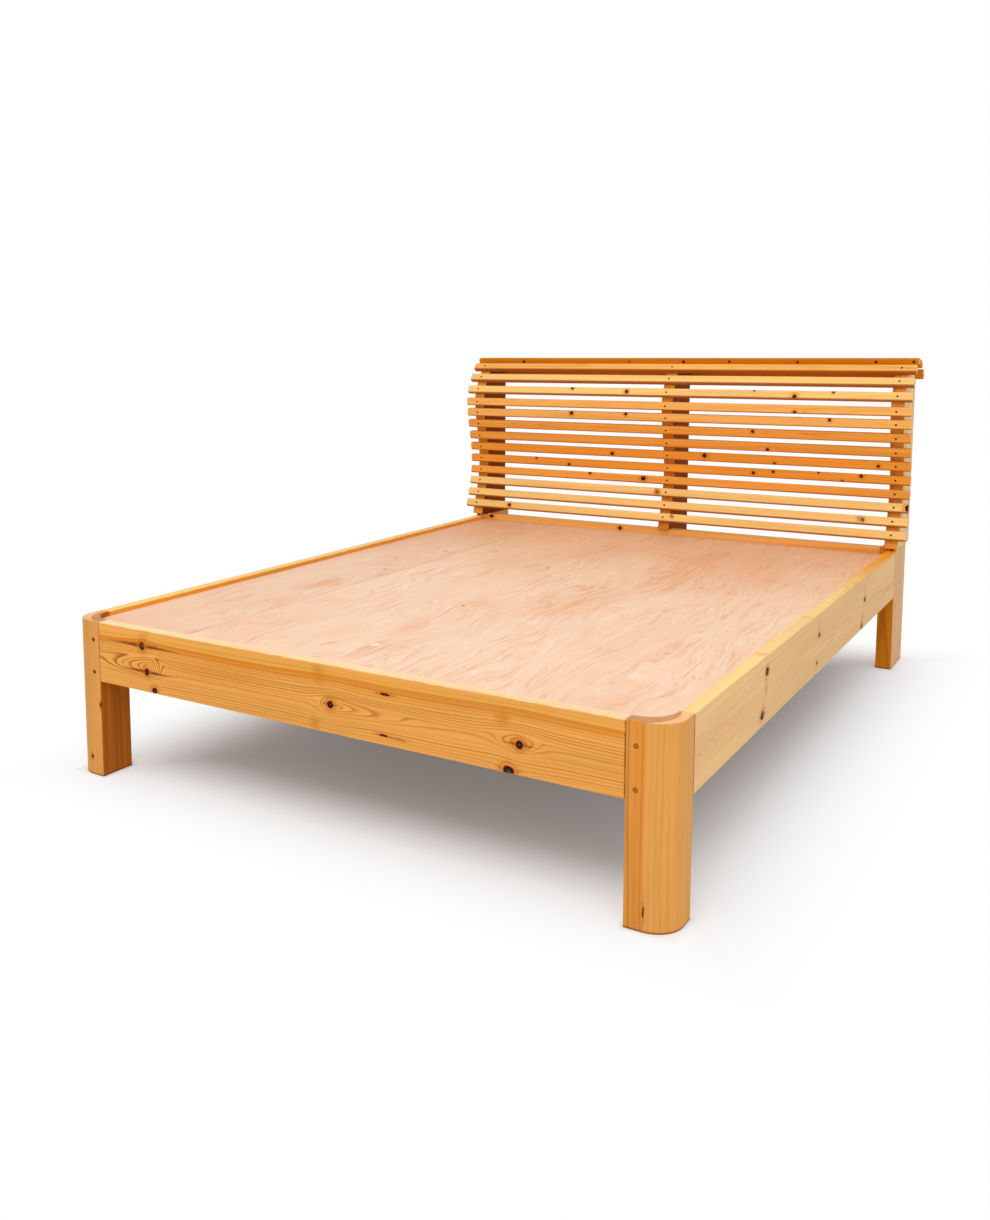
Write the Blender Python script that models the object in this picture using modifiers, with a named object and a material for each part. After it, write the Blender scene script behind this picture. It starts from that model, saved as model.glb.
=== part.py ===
"""Queen platform bed in knotty pine, with a slatted headboard that rolls over at the top.

Units are metres, +Z is up, the foot of the bed is towards -Y and the head towards +Y.
While it is built, Y = 0 is the front face of the head rail. An empty carries every piece,
and at the end it sets the bed's box on the origin: centred in X and Y, standing on Z = 0.
"""
import math

import bmesh
import bpy
from mathutils import Matrix, Vector
from mathutils.geometry import interpolate_bezier

# Gap left between pieces that touch, and the least distance for welding a mesh
GAP = 0.0003
WELD = 0.00001

# Inside of the frame, which takes a 1.524 x 2.032 m mattress
INNER_WIDTH = 1.530
INNER_LENGTH = 2.036

# Rails: the side rails are a little taller than those at the foot and the head
RAIL_THICK = 0.030
RAIL_HEIGHT = 0.152
SIDE_RAIL_HEIGHT = 0.156
RAIL_TOP = 0.400
TENON_INSET = 0.009
FOOT_TENON = 0.050
SIDE_TENON_FOOT = 0.045
SIDE_TENON_HEAD = 0.040
HEAD_TENON = 0.024

# Foot legs: square, with the outer corner rounded and the top cut out for the deck
FOOT_LEG = 0.096
FOOT_LEG_ROUND = 0.060
DECK_CORNER_ROUND = 0.062
PEG_RADIUS = 0.005
PEG_LENGTH = 0.056
PEG_INSET = 0.020
PEG_HEIGHTS = {"upper": 0.353, "lower": 0.270}

# Head legs: flat on to the side rails, and a little taller than they are
HEAD_LEG_THICK = 0.049
HEAD_LEG_DEPTH = 0.180
HEAD_TOP = 0.410

# Plywood deck: one full-width sheet and one narrow strip, recessed below the rails
DECK_THICK = 0.018
DECK_DROP = 0.012
DECK_MARGIN = 0.0005
SHEET_WIDTH = 1.219
SEAM = 0.001

# Support under the deck
BEARER_COUNT = 7
BEARER_WIDTH = 0.089
BEARER_THICK = 0.019
BEARER_END_FOOT = 0.165
BEARER_END_HEAD = 0.125
LEDGER_WIDTH = 0.030
LEDGER_HEIGHT = 0.040
CLEAT_WIDTH = 0.038
CLEAT_HEIGHT = 0.018
BEAM_WIDTH = 0.038
BEAM_HEIGHT = 0.075
CRADLE_WIDTH = 0.100
CRADLE_DEPTH = 0.040
CRADLE_FLOOR = 0.022

# Headboard posts: the outer two stand a little outside the head legs
POST_THICK = 0.042
OUTER_POST_X = 0.782
POST_BACK = HEAD_LEG_DEPTH
POST_TENON_THICK = 0.020
POST_TENON_X = 0.774
POST_TENON_FRONT = 0.050
POST_TENON_BACK = 0.140
POST_TENON_DEPTH = 0.080
CENTRE_POST_FOOT = 0.262
OUTLINE_STEPS = 9
MEASURE_STEPS = 60

# Edge of a post, from the head rail up, over the crown and down to the straight back:
# reach behind the head rail's face, height, lean from upright in degrees, and the
# pull of the curve before and after the knot
EDGE_KNOTS = (
    (-0.0165, HEAD_TOP + GAP, 15.0, 0.0, 0.075),
    (0.035, 0.625, 0.0, 0.075, 0.085),
    (-0.002, 0.865, 0.0, 0.085, 0.045),
    (0.061, 0.994, 40.0, 0.042, 0.018),
    (0.099, 1.013, 90.0, 0.020, 0.045),
    (POST_BACK, 0.940, 180.0, 0.040, 0.0),
)

# Headboard slats, set along the edge of the posts by hand: the place of the first, the pitch,
# and how far each slat is off its even place, from the bottom up
SLAT_LENGTH = 1.656
SLAT_WIDTH = 0.030
SLAT_THICK = 0.020
SLAT_FIRST = 0.0445
SLAT_PITCH = 0.0466
SLAT_SHIFTS = (
    -0.0035, -0.0045, -0.0025, -0.0030, -0.0010, 0.0020, 0.0030, 0.0050,
    0.0035, -0.0025, -0.0050, -0.0020, 0.0015, -0.0020, -0.0020, -0.0020,
)

# Bolts that hold the posts
BOLT_RADIUS = 0.004
BOLT_HEAD_RADIUS = 0.0075
BOLT_HEAD_HEIGHT = 0.0055
BOLT_CLEARANCE = 0.0004
SIDE_BOLT_LENGTH = 0.034
SIDE_BOLT_PLACES = {"front": (0.075, 0.372), "rear": (0.115, 0.350)}
CENTRE_BOLT_LENGTH = 0.095
CENTRE_BOLT_HEIGHTS = {"upper": 0.345, "lower": 0.292}
COUNTERBORE_RADIUS = 0.011
COUNTERBORE_DEPTH = 0.008

# Eased edges, and how finely round stretches are divided
BOARD_EASE = 0.0012
SLAT_EASE = 0.0030
SLAT_EASE_STEPS = 2
EASE_ANGLE = 50.0
SMOOTH_ANGLE = 30.0
FLAT_ANGLE = 0.1
LEG_ARC_STEPS = 12
CORNER_ARC_STEPS = 8
PEG_SIDES = 16
BOLT_SIDES = 12
BOLT_HEAD_SIDES = 6

# Worked out from the sizes above
HALF_WIDTH = INNER_WIDTH / 2 + RAIL_THICK
FOOT_Y = -(INNER_LENGTH + RAIL_THICK)
RAIL_BOTTOM = RAIL_TOP - RAIL_HEIGHT
SIDE_RAIL_BOTTOM = RAIL_TOP - SIDE_RAIL_HEIGHT
HEAD_RAIL_BOTTOM = HEAD_TOP - RAIL_HEIGHT
DECK_TOP = RAIL_TOP - DECK_DROP
DECK_BOTTOM = DECK_TOP - DECK_THICK
BEARER_BOTTOM = DECK_BOTTOM - GAP - BEARER_THICK
SUPPORT_TOP = BEARER_BOTTOM - GAP
SIDES = {"left": -1, "right": 1}

# Finishes: colour, roughness, metallic
FINISHES = {
    "leg_pine": ((0.68, 0.34, 0.10), 0.45, 0.0),
    "rail_pine": ((0.74, 0.40, 0.13), 0.45, 0.0),
    "slat_pine": ((0.76, 0.38, 0.10), 0.42, 0.0),
    "post_pine": ((0.62, 0.27, 0.06), 0.50, 0.0),
    "deck_plywood": ((0.80, 0.52, 0.33), 0.55, 0.0),
    "support_pine": ((0.66, 0.42, 0.20), 0.65, 0.0),
    "peg_pine": ((0.48, 0.20, 0.05), 0.50, 0.0),
    "bolt_steel": ((0.50, 0.50, 0.52), 0.40, 1.0),
}


def start_scene():
    """Empty the scene and return the collections for the parts and the cutters, and the carrier."""
    for obj in list(bpy.data.objects):
        bpy.data.objects.remove(obj, do_unlink=True)
    groups = []
    for name in ("platform_bed", "platform_bed_cutters"):
        group = bpy.data.collections.new(name)
        bpy.context.scene.collection.children.link(group)
        groups.append(group)
    carrier = bpy.data.objects.new("bed_origin", None)
    groups[0].objects.link(carrier)
    return groups[0], groups[1], carrier


PARTS, CUTTERS, CARRIER = start_scene()


def make_finish(name):
    """Return the named finish as a Principled material."""
    colour, roughness, metallic = FINISHES[name]
    material = bpy.data.materials.new(name)
    material.use_nodes = True
    shader = material.node_tree.nodes["Principled BSDF"]
    shader.inputs["Base Color"].default_value = (*colour, 1.0)
    shader.inputs["Roughness"].default_value = roughness
    shader.inputs["Metallic"].default_value = metallic
    return material


MATERIALS = {name: make_finish(name) for name in FINISHES}


def own(obj, name, finish):
    """File an object as a named part of the bed, with its finish."""
    obj.name = name
    obj.data.name = name
    for group in list(obj.users_collection):
        group.objects.unlink(obj)
    PARTS.objects.link(obj)
    obj.parent = CARRIER
    obj.data.materials.clear()
    obj.data.materials.append(MATERIALS[finish])
    return obj


def as_cutter(obj):
    """File an object as a cutter, which is never shown."""
    for group in list(obj.users_collection):
        group.objects.unlink(obj)
    CUTTERS.objects.link(obj)
    obj.parent = CARRIER
    obj.hide_render = True
    obj.display_type = "WIRE"
    return obj


def add_box(low, high):
    """Add a box between two corners, with its size in its mesh."""
    low, high = Vector(low), Vector(high)
    bpy.ops.mesh.primitive_cube_add(size=1.0, location=(low + high) / 2)
    obj = bpy.context.object
    obj.data.transform(Matrix.Diagonal((*(high - low), 1.0)))
    return obj


def add_rod(start, end, radius, sides):
    """Add a closed cylinder between two points."""
    start, end = Vector(start), Vector(end)
    axis = end - start
    bpy.ops.mesh.primitive_cylinder_add(vertices=sides, radius=radius, depth=axis.length)
    obj = bpy.context.object
    obj.location = (start + end) / 2
    obj.rotation_euler = axis.to_track_quat("Z", "Y").to_euler()
    return obj


def ease(obj, width=BOARD_EASE, segments=1):
    """Round the sharp edges of a piece a little."""
    bevel = obj.modifiers.new("eased_edges", "BEVEL")
    bevel.width = width
    bevel.segments = segments
    bevel.limit_method = "ANGLE"
    bevel.angle_limit = math.radians(EASE_ANGLE)
    return obj


def shade_round(obj):
    """Shade a round piece smooth, up to its sharp edges."""
    obj.data.shade_smooth()
    obj.data.set_sharp_from_angle(angle=math.radians(SMOOTH_ANGLE))
    return obj


def combine(obj, other, operation):
    """Cut another solid out of a piece, or join it on."""
    as_cutter(other)
    step = obj.modifiers.new(operation.lower(), "BOOLEAN")
    step.object = other
    step.operation = operation
    step.solver = "EXACT"
    return obj


def cut(obj, other):
    """Cut a solid out of a piece."""
    return combine(obj, other, "DIFFERENCE")


def join(obj, other):
    """Join a solid on to a piece."""
    return combine(obj, other, "UNION")


def round_upright_edge(obj, sign_x, sign_y, radius, segments):
    """Round the upright edge of a box on the given side of its centre."""
    mesh = bmesh.new()
    mesh.from_mesh(obj.data)
    corner = [
        edge for edge in mesh.edges
        if all(v.co.x * sign_x > 0 and v.co.y * sign_y > 0 for v in edge.verts)
    ]
    bmesh.ops.bevel(
        mesh, geom=corner, offset=radius, offset_type="OFFSET", segments=segments,
        profile=0.5, affect="EDGES",
    )
    mesh.to_mesh(obj.data)
    mesh.free()
    return obj


def add_tenon(obj, low, high, axis, sign, length):
    """Join a tenon on to the end of a board that is given by its corners."""
    inset = Vector((TENON_INSET,) * 3)
    low, high = Vector(low) + inset, Vector(high) - inset
    if sign > 0:
        high[axis] += TENON_INSET + length
    else:
        low[axis] -= TENON_INSET + length
    return join(obj, add_box(low, high))


def mirrored(side, low, high):
    """Return a box's corners, turned over to the left of the bed where side is -1."""
    xs = sorted((side * low[0], side * high[0]))
    return (xs[0], low[1], low[2]), (xs[1], high[1], high[2])


def side_box(side, low, high):
    """Add a box given for the right of the bed, on the side asked for."""
    return add_box(*mirrored(side, low, high))


def make_foot_leg(label, side):
    """Foot leg: rounded outside, notched for the deck, mortised for both rails."""
    inner = HALF_WIDTH - FOOT_LEG
    leg = side_box(side, (inner, FOOT_Y, 0.0), (HALF_WIDTH, FOOT_Y + FOOT_LEG, RAIL_TOP))
    round_upright_edge(leg, side, -1, FOOT_LEG_ROUND, LEG_ARC_STEPS)
    own(leg, f"foot_leg_{label}", "leg_pine")
    ease(shade_round(leg))

    notch = side_box(
        side,
        (inner - RAIL_THICK, FOOT_Y + RAIL_THICK, DECK_BOTTOM - GAP),
        (HALF_WIDTH - RAIL_THICK, FOOT_Y + FOOT_LEG + RAIL_THICK, RAIL_TOP + RAIL_THICK),
    )
    round_upright_edge(notch, side, -1, DECK_CORNER_ROUND, CORNER_ARC_STEPS)
    cut(leg, notch)

    cheek = TENON_INSET - GAP
    high_z = RAIL_TOP - cheek
    tongue = RAIL_THICK - TENON_INSET + GAP
    cut(leg, side_box(
        side,
        (inner - FOOT_TENON, FOOT_Y + cheek, RAIL_BOTTOM + cheek),
        (inner + FOOT_TENON + GAP, FOOT_Y + tongue, high_z),
    ))
    cut(leg, side_box(
        side,
        (HALF_WIDTH - tongue, FOOT_Y + FOOT_LEG - SIDE_TENON_FOOT - GAP, SIDE_RAIL_BOTTOM + cheek),
        (HALF_WIDTH - cheek, FOOT_Y + FOOT_LEG + SIDE_TENON_FOOT, high_z),
    ))
    for height in PEG_HEIGHTS.values():
        cut(leg, peg_hole(side, height))


def peg_axis(side, height):
    """Return the outer and inner end of a peg's centre line."""
    x = side * (HALF_WIDTH - FOOT_LEG + PEG_INSET)
    return Vector((x, FOOT_Y + GAP, height)), Vector((x, FOOT_Y + PEG_LENGTH, height))


def peg_hole(side, height):
    """Return the cutter for a peg, open at the leg's front face."""
    start, end = peg_axis(side, height)
    reach = Vector((0.0, PEG_RADIUS, 0.0))
    slack = Vector((0.0, GAP, 0.0))
    return add_rod(start - reach, end + slack, PEG_RADIUS + GAP, PEG_SIDES)


def make_pegs(label, side):
    """Pegs that lock the foot rail's tenon in the leg."""
    for place, height in PEG_HEIGHTS.items():
        peg = add_rod(*peg_axis(side, height), PEG_RADIUS, PEG_SIDES)
        own(shade_round(peg), f"foot_peg_{label}_{place}", "peg_pine")


def make_foot_rail():
    """Foot rail, tenoned into both foot legs and bored for the pegs."""
    half = HALF_WIDTH - FOOT_LEG - GAP
    board = (-half, FOOT_Y, RAIL_BOTTOM), (half, FOOT_Y + RAIL_THICK, RAIL_TOP)
    rail = own(add_box(*board), "foot_rail", "rail_pine")
    ease(rail)
    for side in SIDES.values():
        add_tenon(rail, *board, 0, side, FOOT_TENON)
    for side in SIDES.values():
        for height in PEG_HEIGHTS.values():
            cut(rail, peg_hole(side, height))


def make_side_rail(label, side):
    """Side rail, tenoned into the foot leg and the head leg."""
    board = mirrored(
        side,
        (HALF_WIDTH - RAIL_THICK, FOOT_Y + FOOT_LEG + GAP, SIDE_RAIL_BOTTOM),
        (HALF_WIDTH, -GAP, RAIL_TOP),
    )
    rail = own(add_box(*board), f"side_rail_{label}", "rail_pine")
    ease(rail)
    add_tenon(rail, *board, 1, -1, SIDE_TENON_FOOT)
    add_tenon(rail, *board, 1, 1, SIDE_TENON_HEAD)


def make_head_leg(label, side):
    """Head leg, mortised for the side rail, the head rail and the post above."""
    inner = HALF_WIDTH - HEAD_LEG_THICK
    leg = side_box(side, (inner, 0.0, 0.0), (HALF_WIDTH, HEAD_LEG_DEPTH, HEAD_TOP))
    own(leg, f"head_leg_{label}", "leg_pine")
    ease(leg)
    cheek = TENON_INSET - GAP
    tongue = RAIL_THICK - TENON_INSET + GAP
    cut(leg, side_box(
        side,
        (HALF_WIDTH - tongue, -SIDE_TENON_HEAD, SIDE_RAIL_BOTTOM + cheek),
        (HALF_WIDTH - cheek, SIDE_TENON_HEAD + GAP, RAIL_TOP - cheek),
    ))
    cut(leg, side_box(
        side,
        (inner - HEAD_TENON, cheek, HEAD_RAIL_BOTTOM + cheek),
        (inner + HEAD_TENON + GAP, tongue, HEAD_TOP - cheek),
    ))
    cut(leg, post_tenon(side, GAP, HEAD_TOP + POST_TENON_DEPTH))
    for place in SIDE_BOLT_PLACES.values():
        cut(leg, side_bolt_hole(side, place))


def post_tenon(side, slack, top):
    """Return the block of an outer post's tenon, grown by a slack for its mortise."""
    half = POST_TENON_THICK / 2 + slack
    foot = HEAD_TOP - POST_TENON_DEPTH - slack
    return side_box(
        side,
        (POST_TENON_X - half, POST_TENON_FRONT - slack, foot),
        (POST_TENON_X + half, POST_TENON_BACK + slack, top),
    )


def make_head_rail():
    """Head rail between the head legs, counterbored for the centre post's bolts."""
    half = HALF_WIDTH - HEAD_LEG_THICK - GAP
    board = (-half, 0.0, HEAD_RAIL_BOTTOM), (half, RAIL_THICK, HEAD_TOP)
    rail = own(add_box(*board), "head_rail", "rail_pine")
    ease(rail)
    for side in SIDES.values():
        add_tenon(rail, *board, 0, side, HEAD_TENON)
    for height in CENTRE_BOLT_HEIGHTS.values():
        cut(rail, centre_bolt_hole(height))
        cut(rail, add_rod(
            (0.0, -COUNTERBORE_DEPTH, height), (0.0, COUNTERBORE_DEPTH, height),
            COUNTERBORE_RADIUS, PEG_SIDES,
        ))


def side_bolt_line(side, place):
    """Return the point under a side bolt's head and its tip, inside the leg."""
    y, z = place
    head = HALF_WIDTH - HEAD_LEG_THICK - GAP
    return Vector((side * head, y, z)), Vector((side * (head + SIDE_BOLT_LENGTH), y, z))


def centre_bolt_line(height):
    """Return the point under a centre bolt's head and its tip, inside the post."""
    seat = COUNTERBORE_DEPTH - GAP
    return Vector((0.0, seat, height)), Vector((0.0, seat + CENTRE_BOLT_LENGTH, height))


def bolt_hole(seat, tip):
    """Return the cutter for a bolt's shank."""
    along = (tip - seat).normalized()
    start = seat - along * 2 * BOLT_RADIUS
    return add_rod(start, tip + along * GAP, BOLT_RADIUS + BOLT_CLEARANCE, BOLT_SIDES)


def side_bolt_hole(side, place):
    """Return the cutter for one of an outer post's bolts."""
    return bolt_hole(*side_bolt_line(side, place))


def centre_bolt_hole(height):
    """Return the cutter for one of the centre post's bolts."""
    return bolt_hole(*centre_bolt_line(height))


def make_bolt(name, seat, tip):
    """Hexagon bolt with its head against a face and its shank in the wood."""
    along = (tip - seat).normalized()
    overlap = along * BOLT_HEAD_HEIGHT / 2
    shank = add_rod(seat - overlap, tip, BOLT_RADIUS, BOLT_SIDES)
    head = add_rod(seat - along * BOLT_HEAD_HEIGHT, seat, BOLT_HEAD_RADIUS, BOLT_HEAD_SIDES)
    own(shade_round(shank), name, "bolt_steel")
    join(shank, head)


def make_deck():
    """Plywood deck in two sheets, with the foot corners rounded to fit the legs."""
    half = INNER_WIDTH / 2 - DECK_MARGIN
    seam_x = half - SHEET_WIDTH
    low_y = FOOT_Y + RAIL_THICK + DECK_MARGIN
    sheets = {
        "deck_sheet_wide": (seam_x + SEAM / 2, half, 1),
        "deck_sheet_narrow": (-half, seam_x - SEAM / 2, -1),
    }
    for name, (low_x, high_x, outer) in sheets.items():
        sheet = add_box((low_x, low_y, DECK_BOTTOM), (high_x, -DECK_MARGIN, DECK_TOP))
        round_upright_edge(sheet, outer, -1, DECK_CORNER_ROUND, CORNER_ARC_STEPS)
        own(shade_round(sheet), name, "deck_plywood")


def make_supports():
    """Ledgers, cleats, bearers and the centre beam that carry the deck."""
    inner = INNER_WIDTH / 2 - GAP
    foot_inner = FOOT_Y + RAIL_THICK + GAP
    for label, side in SIDES.items():
        ledger = side_box(
            side,
            (inner - LEDGER_WIDTH, FOOT_Y + FOOT_LEG + 2 * GAP, SUPPORT_TOP - LEDGER_HEIGHT),
            (inner, -2 * GAP, SUPPORT_TOP),
        )
        own(ledger, f"side_ledger_{label}", "support_pine")

    cleat_low = DECK_BOTTOM - GAP - CLEAT_HEIGHT
    cleats = {
        "foot_cleat": (HALF_WIDTH - FOOT_LEG - GAP, foot_inner),
        "head_cleat": (inner, -GAP - CLEAT_WIDTH),
    }
    for name, (half, low_y) in cleats.items():
        cleat = add_box((-half, low_y, cleat_low), (half, low_y + CLEAT_WIDTH, DECK_BOTTOM - GAP))
        own(cleat, name, "support_pine")

    first = FOOT_Y + BEARER_END_FOOT
    step = (-BEARER_END_HEAD - first) / (BEARER_COUNT - 1)
    for index in range(BEARER_COUNT):
        mid = first + index * step
        bearer = add_box(
            (-inner, mid - BEARER_WIDTH / 2, BEARER_BOTTOM),
            (inner, mid + BEARER_WIDTH / 2, DECK_BOTTOM - GAP),
        )
        own(bearer, f"deck_bearer_{index + 1:02d}", "support_pine")
        ease(bearer)

    beam_low = SUPPORT_TOP - BEAM_HEIGHT
    beam = add_box(
        (-BEAM_WIDTH / 2, foot_inner + GAP, beam_low), (BEAM_WIDTH / 2, -2 * GAP, SUPPORT_TOP),
    )
    own(beam, "centre_beam", "support_pine")
    ease(beam)
    for name, low_y in (("beam_cradle_foot", foot_inner), ("beam_cradle_head", -GAP - CRADLE_DEPTH)):
        make_cradle(name, low_y, beam_low)


def make_cradle(name, low_y, beam_low):
    """Block on a rail with an open slot that carries one end of the centre beam."""
    half = CRADLE_WIDTH / 2
    slot = BEAM_WIDTH / 2 + GAP
    cradle = add_box((-half, low_y, beam_low - CRADLE_FLOOR), (half, low_y + CRADLE_DEPTH, SUPPORT_TOP))
    own(cradle, name, "support_pine")
    cut(cradle, add_box(
        (-slot, low_y - CRADLE_DEPTH, beam_low - GAP),
        (slot, low_y + 2 * CRADLE_DEPTH, SUPPORT_TOP + CRADLE_FLOOR),
    ))


def knot_frame(knot):
    """Return a knot's point and direction in the YZ plane."""
    reach, height, lean, _, _ = knot
    angle = math.radians(lean)
    return Vector((reach, height)), Vector((math.sin(angle), math.cos(angle)))


def edge_points(steps):
    """Sample the posts' edge, with the same number of steps between each two knots."""
    points = []
    for this, following in zip(EDGE_KNOTS, EDGE_KNOTS[1:]):
        start, start_way = knot_frame(this)
        end, end_way = knot_frame(following)
        run = interpolate_bezier(
            start, start + start_way * this[4], end - end_way * following[3], end, steps + 1,
        )
        points.extend(run[:-1])
    points.append(knot_frame(EDGE_KNOTS[-1])[0])
    return points


def seat_on_edge(points, distance):
    """Return the point and the direction on a sampled edge at a distance along it."""
    for here, ahead in zip(points, points[1:]):
        span = (ahead - here).length
        if distance <= span:
            way = (ahead - here).normalized()
            return here + way * distance, way
        distance -= span
    return points[-1], Vector((0.0, -1.0))


def make_post(label, x, centre):
    """Headboard post, sawn from a plank to the curved edge, with a straight back."""
    outline = edge_points(OUTLINE_STEPS)
    if centre:
        behind_rail = RAIL_THICK + GAP
        outline += [
            Vector((POST_BACK, CENTRE_POST_FOOT)),
            Vector((behind_rail, CENTRE_POST_FOOT)),
            Vector((behind_rail, HEAD_TOP + GAP)),
        ]
    else:
        outline.append(Vector((POST_BACK, HEAD_TOP + GAP)))

    curve = bpy.data.curves.new("post_outline", "CURVE")
    curve.dimensions = "2D"
    curve.fill_mode = "BOTH"
    curve.extrude = POST_THICK / 2
    spline = curve.splines.new("POLY")
    spline.points.add(len(outline) - 1)
    for point, place in zip(spline.points, outline):
        point.co = (place.x, place.y, 0.0, 1.0)
    spline.use_cyclic_u = True

    drawn = bpy.data.objects.new("post_outline", curve)
    PARTS.objects.link(drawn)
    drawn.location = (x, 0.0, 0.0)
    drawn.rotation_euler = (math.pi / 2, 0.0, math.pi / 2)
    bpy.context.view_layer.update()
    mesh = bpy.data.meshes.new_from_object(drawn.evaluated_get(bpy.context.evaluated_depsgraph_get()))
    welded = bmesh.new()
    welded.from_mesh(mesh)
    bmesh.ops.remove_doubles(welded, verts=welded.verts, dist=WELD)
    bmesh.ops.dissolve_limit(
        welded, angle_limit=math.radians(FLAT_ANGLE), verts=welded.verts, edges=welded.edges,
    )
    bmesh.ops.recalc_face_normals(welded, faces=welded.faces)
    welded.to_mesh(mesh)
    welded.free()
    post = bpy.data.objects.new(f"headboard_post_{label}", mesh)
    PARTS.objects.link(post)
    post.matrix_world = drawn.matrix_world
    bpy.data.objects.remove(drawn, do_unlink=True)
    own(shade_round(post), f"headboard_post_{label}", "post_pine")
    return ease(post)


def make_posts():
    """The three posts, with tenons on the outer two and bolts in all of them."""
    for label, side in SIDES.items():
        post = make_post(label, side * OUTER_POST_X, centre=False)
        join(post, post_tenon(side, 0.0, HEAD_TOP + POST_TENON_THICK))
        for place_name, place in SIDE_BOLT_PLACES.items():
            cut(post, side_bolt_hole(side, place))
            make_bolt(f"post_bolt_{label}_{place_name}", *side_bolt_line(side, place))
    centre_post = make_post("centre", 0.0, centre=True)
    for place_name, height in CENTRE_BOLT_HEIGHTS.items():
        cut(centre_post, centre_bolt_hole(height))
        make_bolt(f"post_bolt_centre_{place_name}", *centre_bolt_line(height))


def make_slats():
    """Slats nailed across the posts, each lying flat on the curved edge, from the bottom up."""
    fine = edge_points(MEASURE_STEPS)
    sawn = edge_points(OUTLINE_STEPS)
    for index, shift in enumerate(SLAT_SHIFTS):
        seat, way = seat_on_edge(fine, SLAT_FIRST + index * SLAT_PITCH + shift)
        outward = Vector((-way.y, way.x))
        under = [p - seat for p in sawn + fine if abs((p - seat).dot(way)) <= SLAT_WIDTH / 2]
        rise = max(offset.dot(outward) for offset in under)
        middle = seat + outward * (rise + GAP + SLAT_THICK / 2)
        size = Vector((SLAT_LENGTH, SLAT_THICK, SLAT_WIDTH)) / 2
        slat = add_box(-size, size)
        slat.location = (0.0, middle.x, middle.y)
        slat.rotation_euler = (-math.atan2(way.x, way.y), 0.0, 0.0)
        own(slat, f"headboard_slat_{index + 1:02d}", "slat_pine")
        ease(slat, SLAT_EASE, SLAT_EASE_STEPS)


def set_on_origin():
    """Move the carrier so that the bed's box is centred on the origin."""
    bpy.context.view_layer.update()
    depsgraph = bpy.context.evaluated_depsgraph_get()
    reach = []
    for obj in PARTS.objects:
        if obj.type == "MESH":
            solid = obj.evaluated_get(depsgraph)
            reach += [(solid.matrix_world @ v.co).y for v in solid.data.vertices]
    CARRIER.location.y = -(min(reach) + max(reach)) / 2


def main():
    """Build the bed from the floor up."""
    for label, side in SIDES.items():
        make_foot_leg(label, side)
        make_pegs(label, side)
        make_head_leg(label, side)
        make_side_rail(label, side)
    make_foot_rail()
    make_head_rail()
    make_supports()
    make_deck()
    make_posts()
    make_slats()
    set_on_origin()


main()
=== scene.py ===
"""Dresses a platform bed in knotty pine: its timber, deck, nails and screws, and its studio."""

import logging
import math
import random
from collections.abc import Sequence
from dataclasses import dataclass, replace
from enum import Enum

import bmesh
import bpy
from mathutils import Euler, Matrix, Vector


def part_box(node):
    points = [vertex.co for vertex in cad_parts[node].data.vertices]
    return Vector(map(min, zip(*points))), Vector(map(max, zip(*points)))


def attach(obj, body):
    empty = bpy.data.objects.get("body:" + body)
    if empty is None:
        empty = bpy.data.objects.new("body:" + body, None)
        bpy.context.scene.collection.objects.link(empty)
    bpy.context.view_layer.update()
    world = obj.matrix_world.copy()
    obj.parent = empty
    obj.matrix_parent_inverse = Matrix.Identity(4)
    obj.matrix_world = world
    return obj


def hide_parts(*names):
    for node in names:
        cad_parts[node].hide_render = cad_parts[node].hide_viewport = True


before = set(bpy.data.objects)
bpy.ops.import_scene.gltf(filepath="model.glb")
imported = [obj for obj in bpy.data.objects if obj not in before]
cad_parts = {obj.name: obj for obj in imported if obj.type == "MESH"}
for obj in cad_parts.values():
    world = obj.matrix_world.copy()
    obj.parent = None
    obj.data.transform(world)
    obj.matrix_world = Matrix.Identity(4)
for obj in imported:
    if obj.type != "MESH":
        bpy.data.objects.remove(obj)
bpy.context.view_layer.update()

LOG = logging.getLogger("platform_bed")
BODY = "root"

FAR = 100.0
FACING = (0.5, 0.9)
HALVES = (0.5, 0.5, 0.5)
SHIFT_SHARES = (1.0, 0.7, 0.4)
BUMP_STRENGTH = 0.5
FINE_RELIEF = 0.0001

Colour = tuple[float, float, float, float]
Scales = tuple[float, float, float]
Range = tuple[float, ...]


def paint(red: int, green: int, blue: int, cover: float = 1.0) -> Colour:
    """Turn a colour as a paint chart writes it into the linear values that a shader takes.

    Args:
        red: Red, 0 to 255.
        green: Green, 0 to 255.
        blue: Blue, 0 to 255.
        cover: How much the colour hides what is under it, 0 to 1.

    Returns:
        The linear colour with its cover.
    """
    def linear(level: int) -> float:
        """Undo the display curve on one channel."""
        share = level / 255
        return share / 12.92 if share <= 0.04045 else ((share + 0.055) / 1.055) ** 2.4

    return (linear(red), linear(green), linear(blue), cover)


def box_middle(node: str) -> Vector:
    """Find the middle of a CAD node's box."""
    low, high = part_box(node)
    return (Vector(low) + Vector(high)) / 2


def box_half(node: str) -> Vector:
    """Find half the size of a CAD node's box."""
    low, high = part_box(node)
    return (Vector(high) - Vector(low)) / 2


def stand(spot: Vector, facing: Vector) -> Matrix:
    """Place a small piece at a spot, with its upward axis the way a face looks."""
    return Matrix.Translation(spot) @ facing.to_track_quat("Z", "Y").to_matrix().to_4x4()


class Grain(Enum):
    """The way a board's fibres run. Each value turns the bed's axes to the board's own."""

    CROSSWISE = (0.0, 0.0, 0.0)
    LENGTHWISE = (0.0, 0.0, math.pi / 2)
    UPRIGHT = (0.0, -math.pi / 2, 0.0)

    @property
    def side(self) -> float:
        """Which way the board's own cross axis runs when it is read upwards or to the right."""
        return -1.0 if self is Grain.UPRIGHT else 1.0


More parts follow.
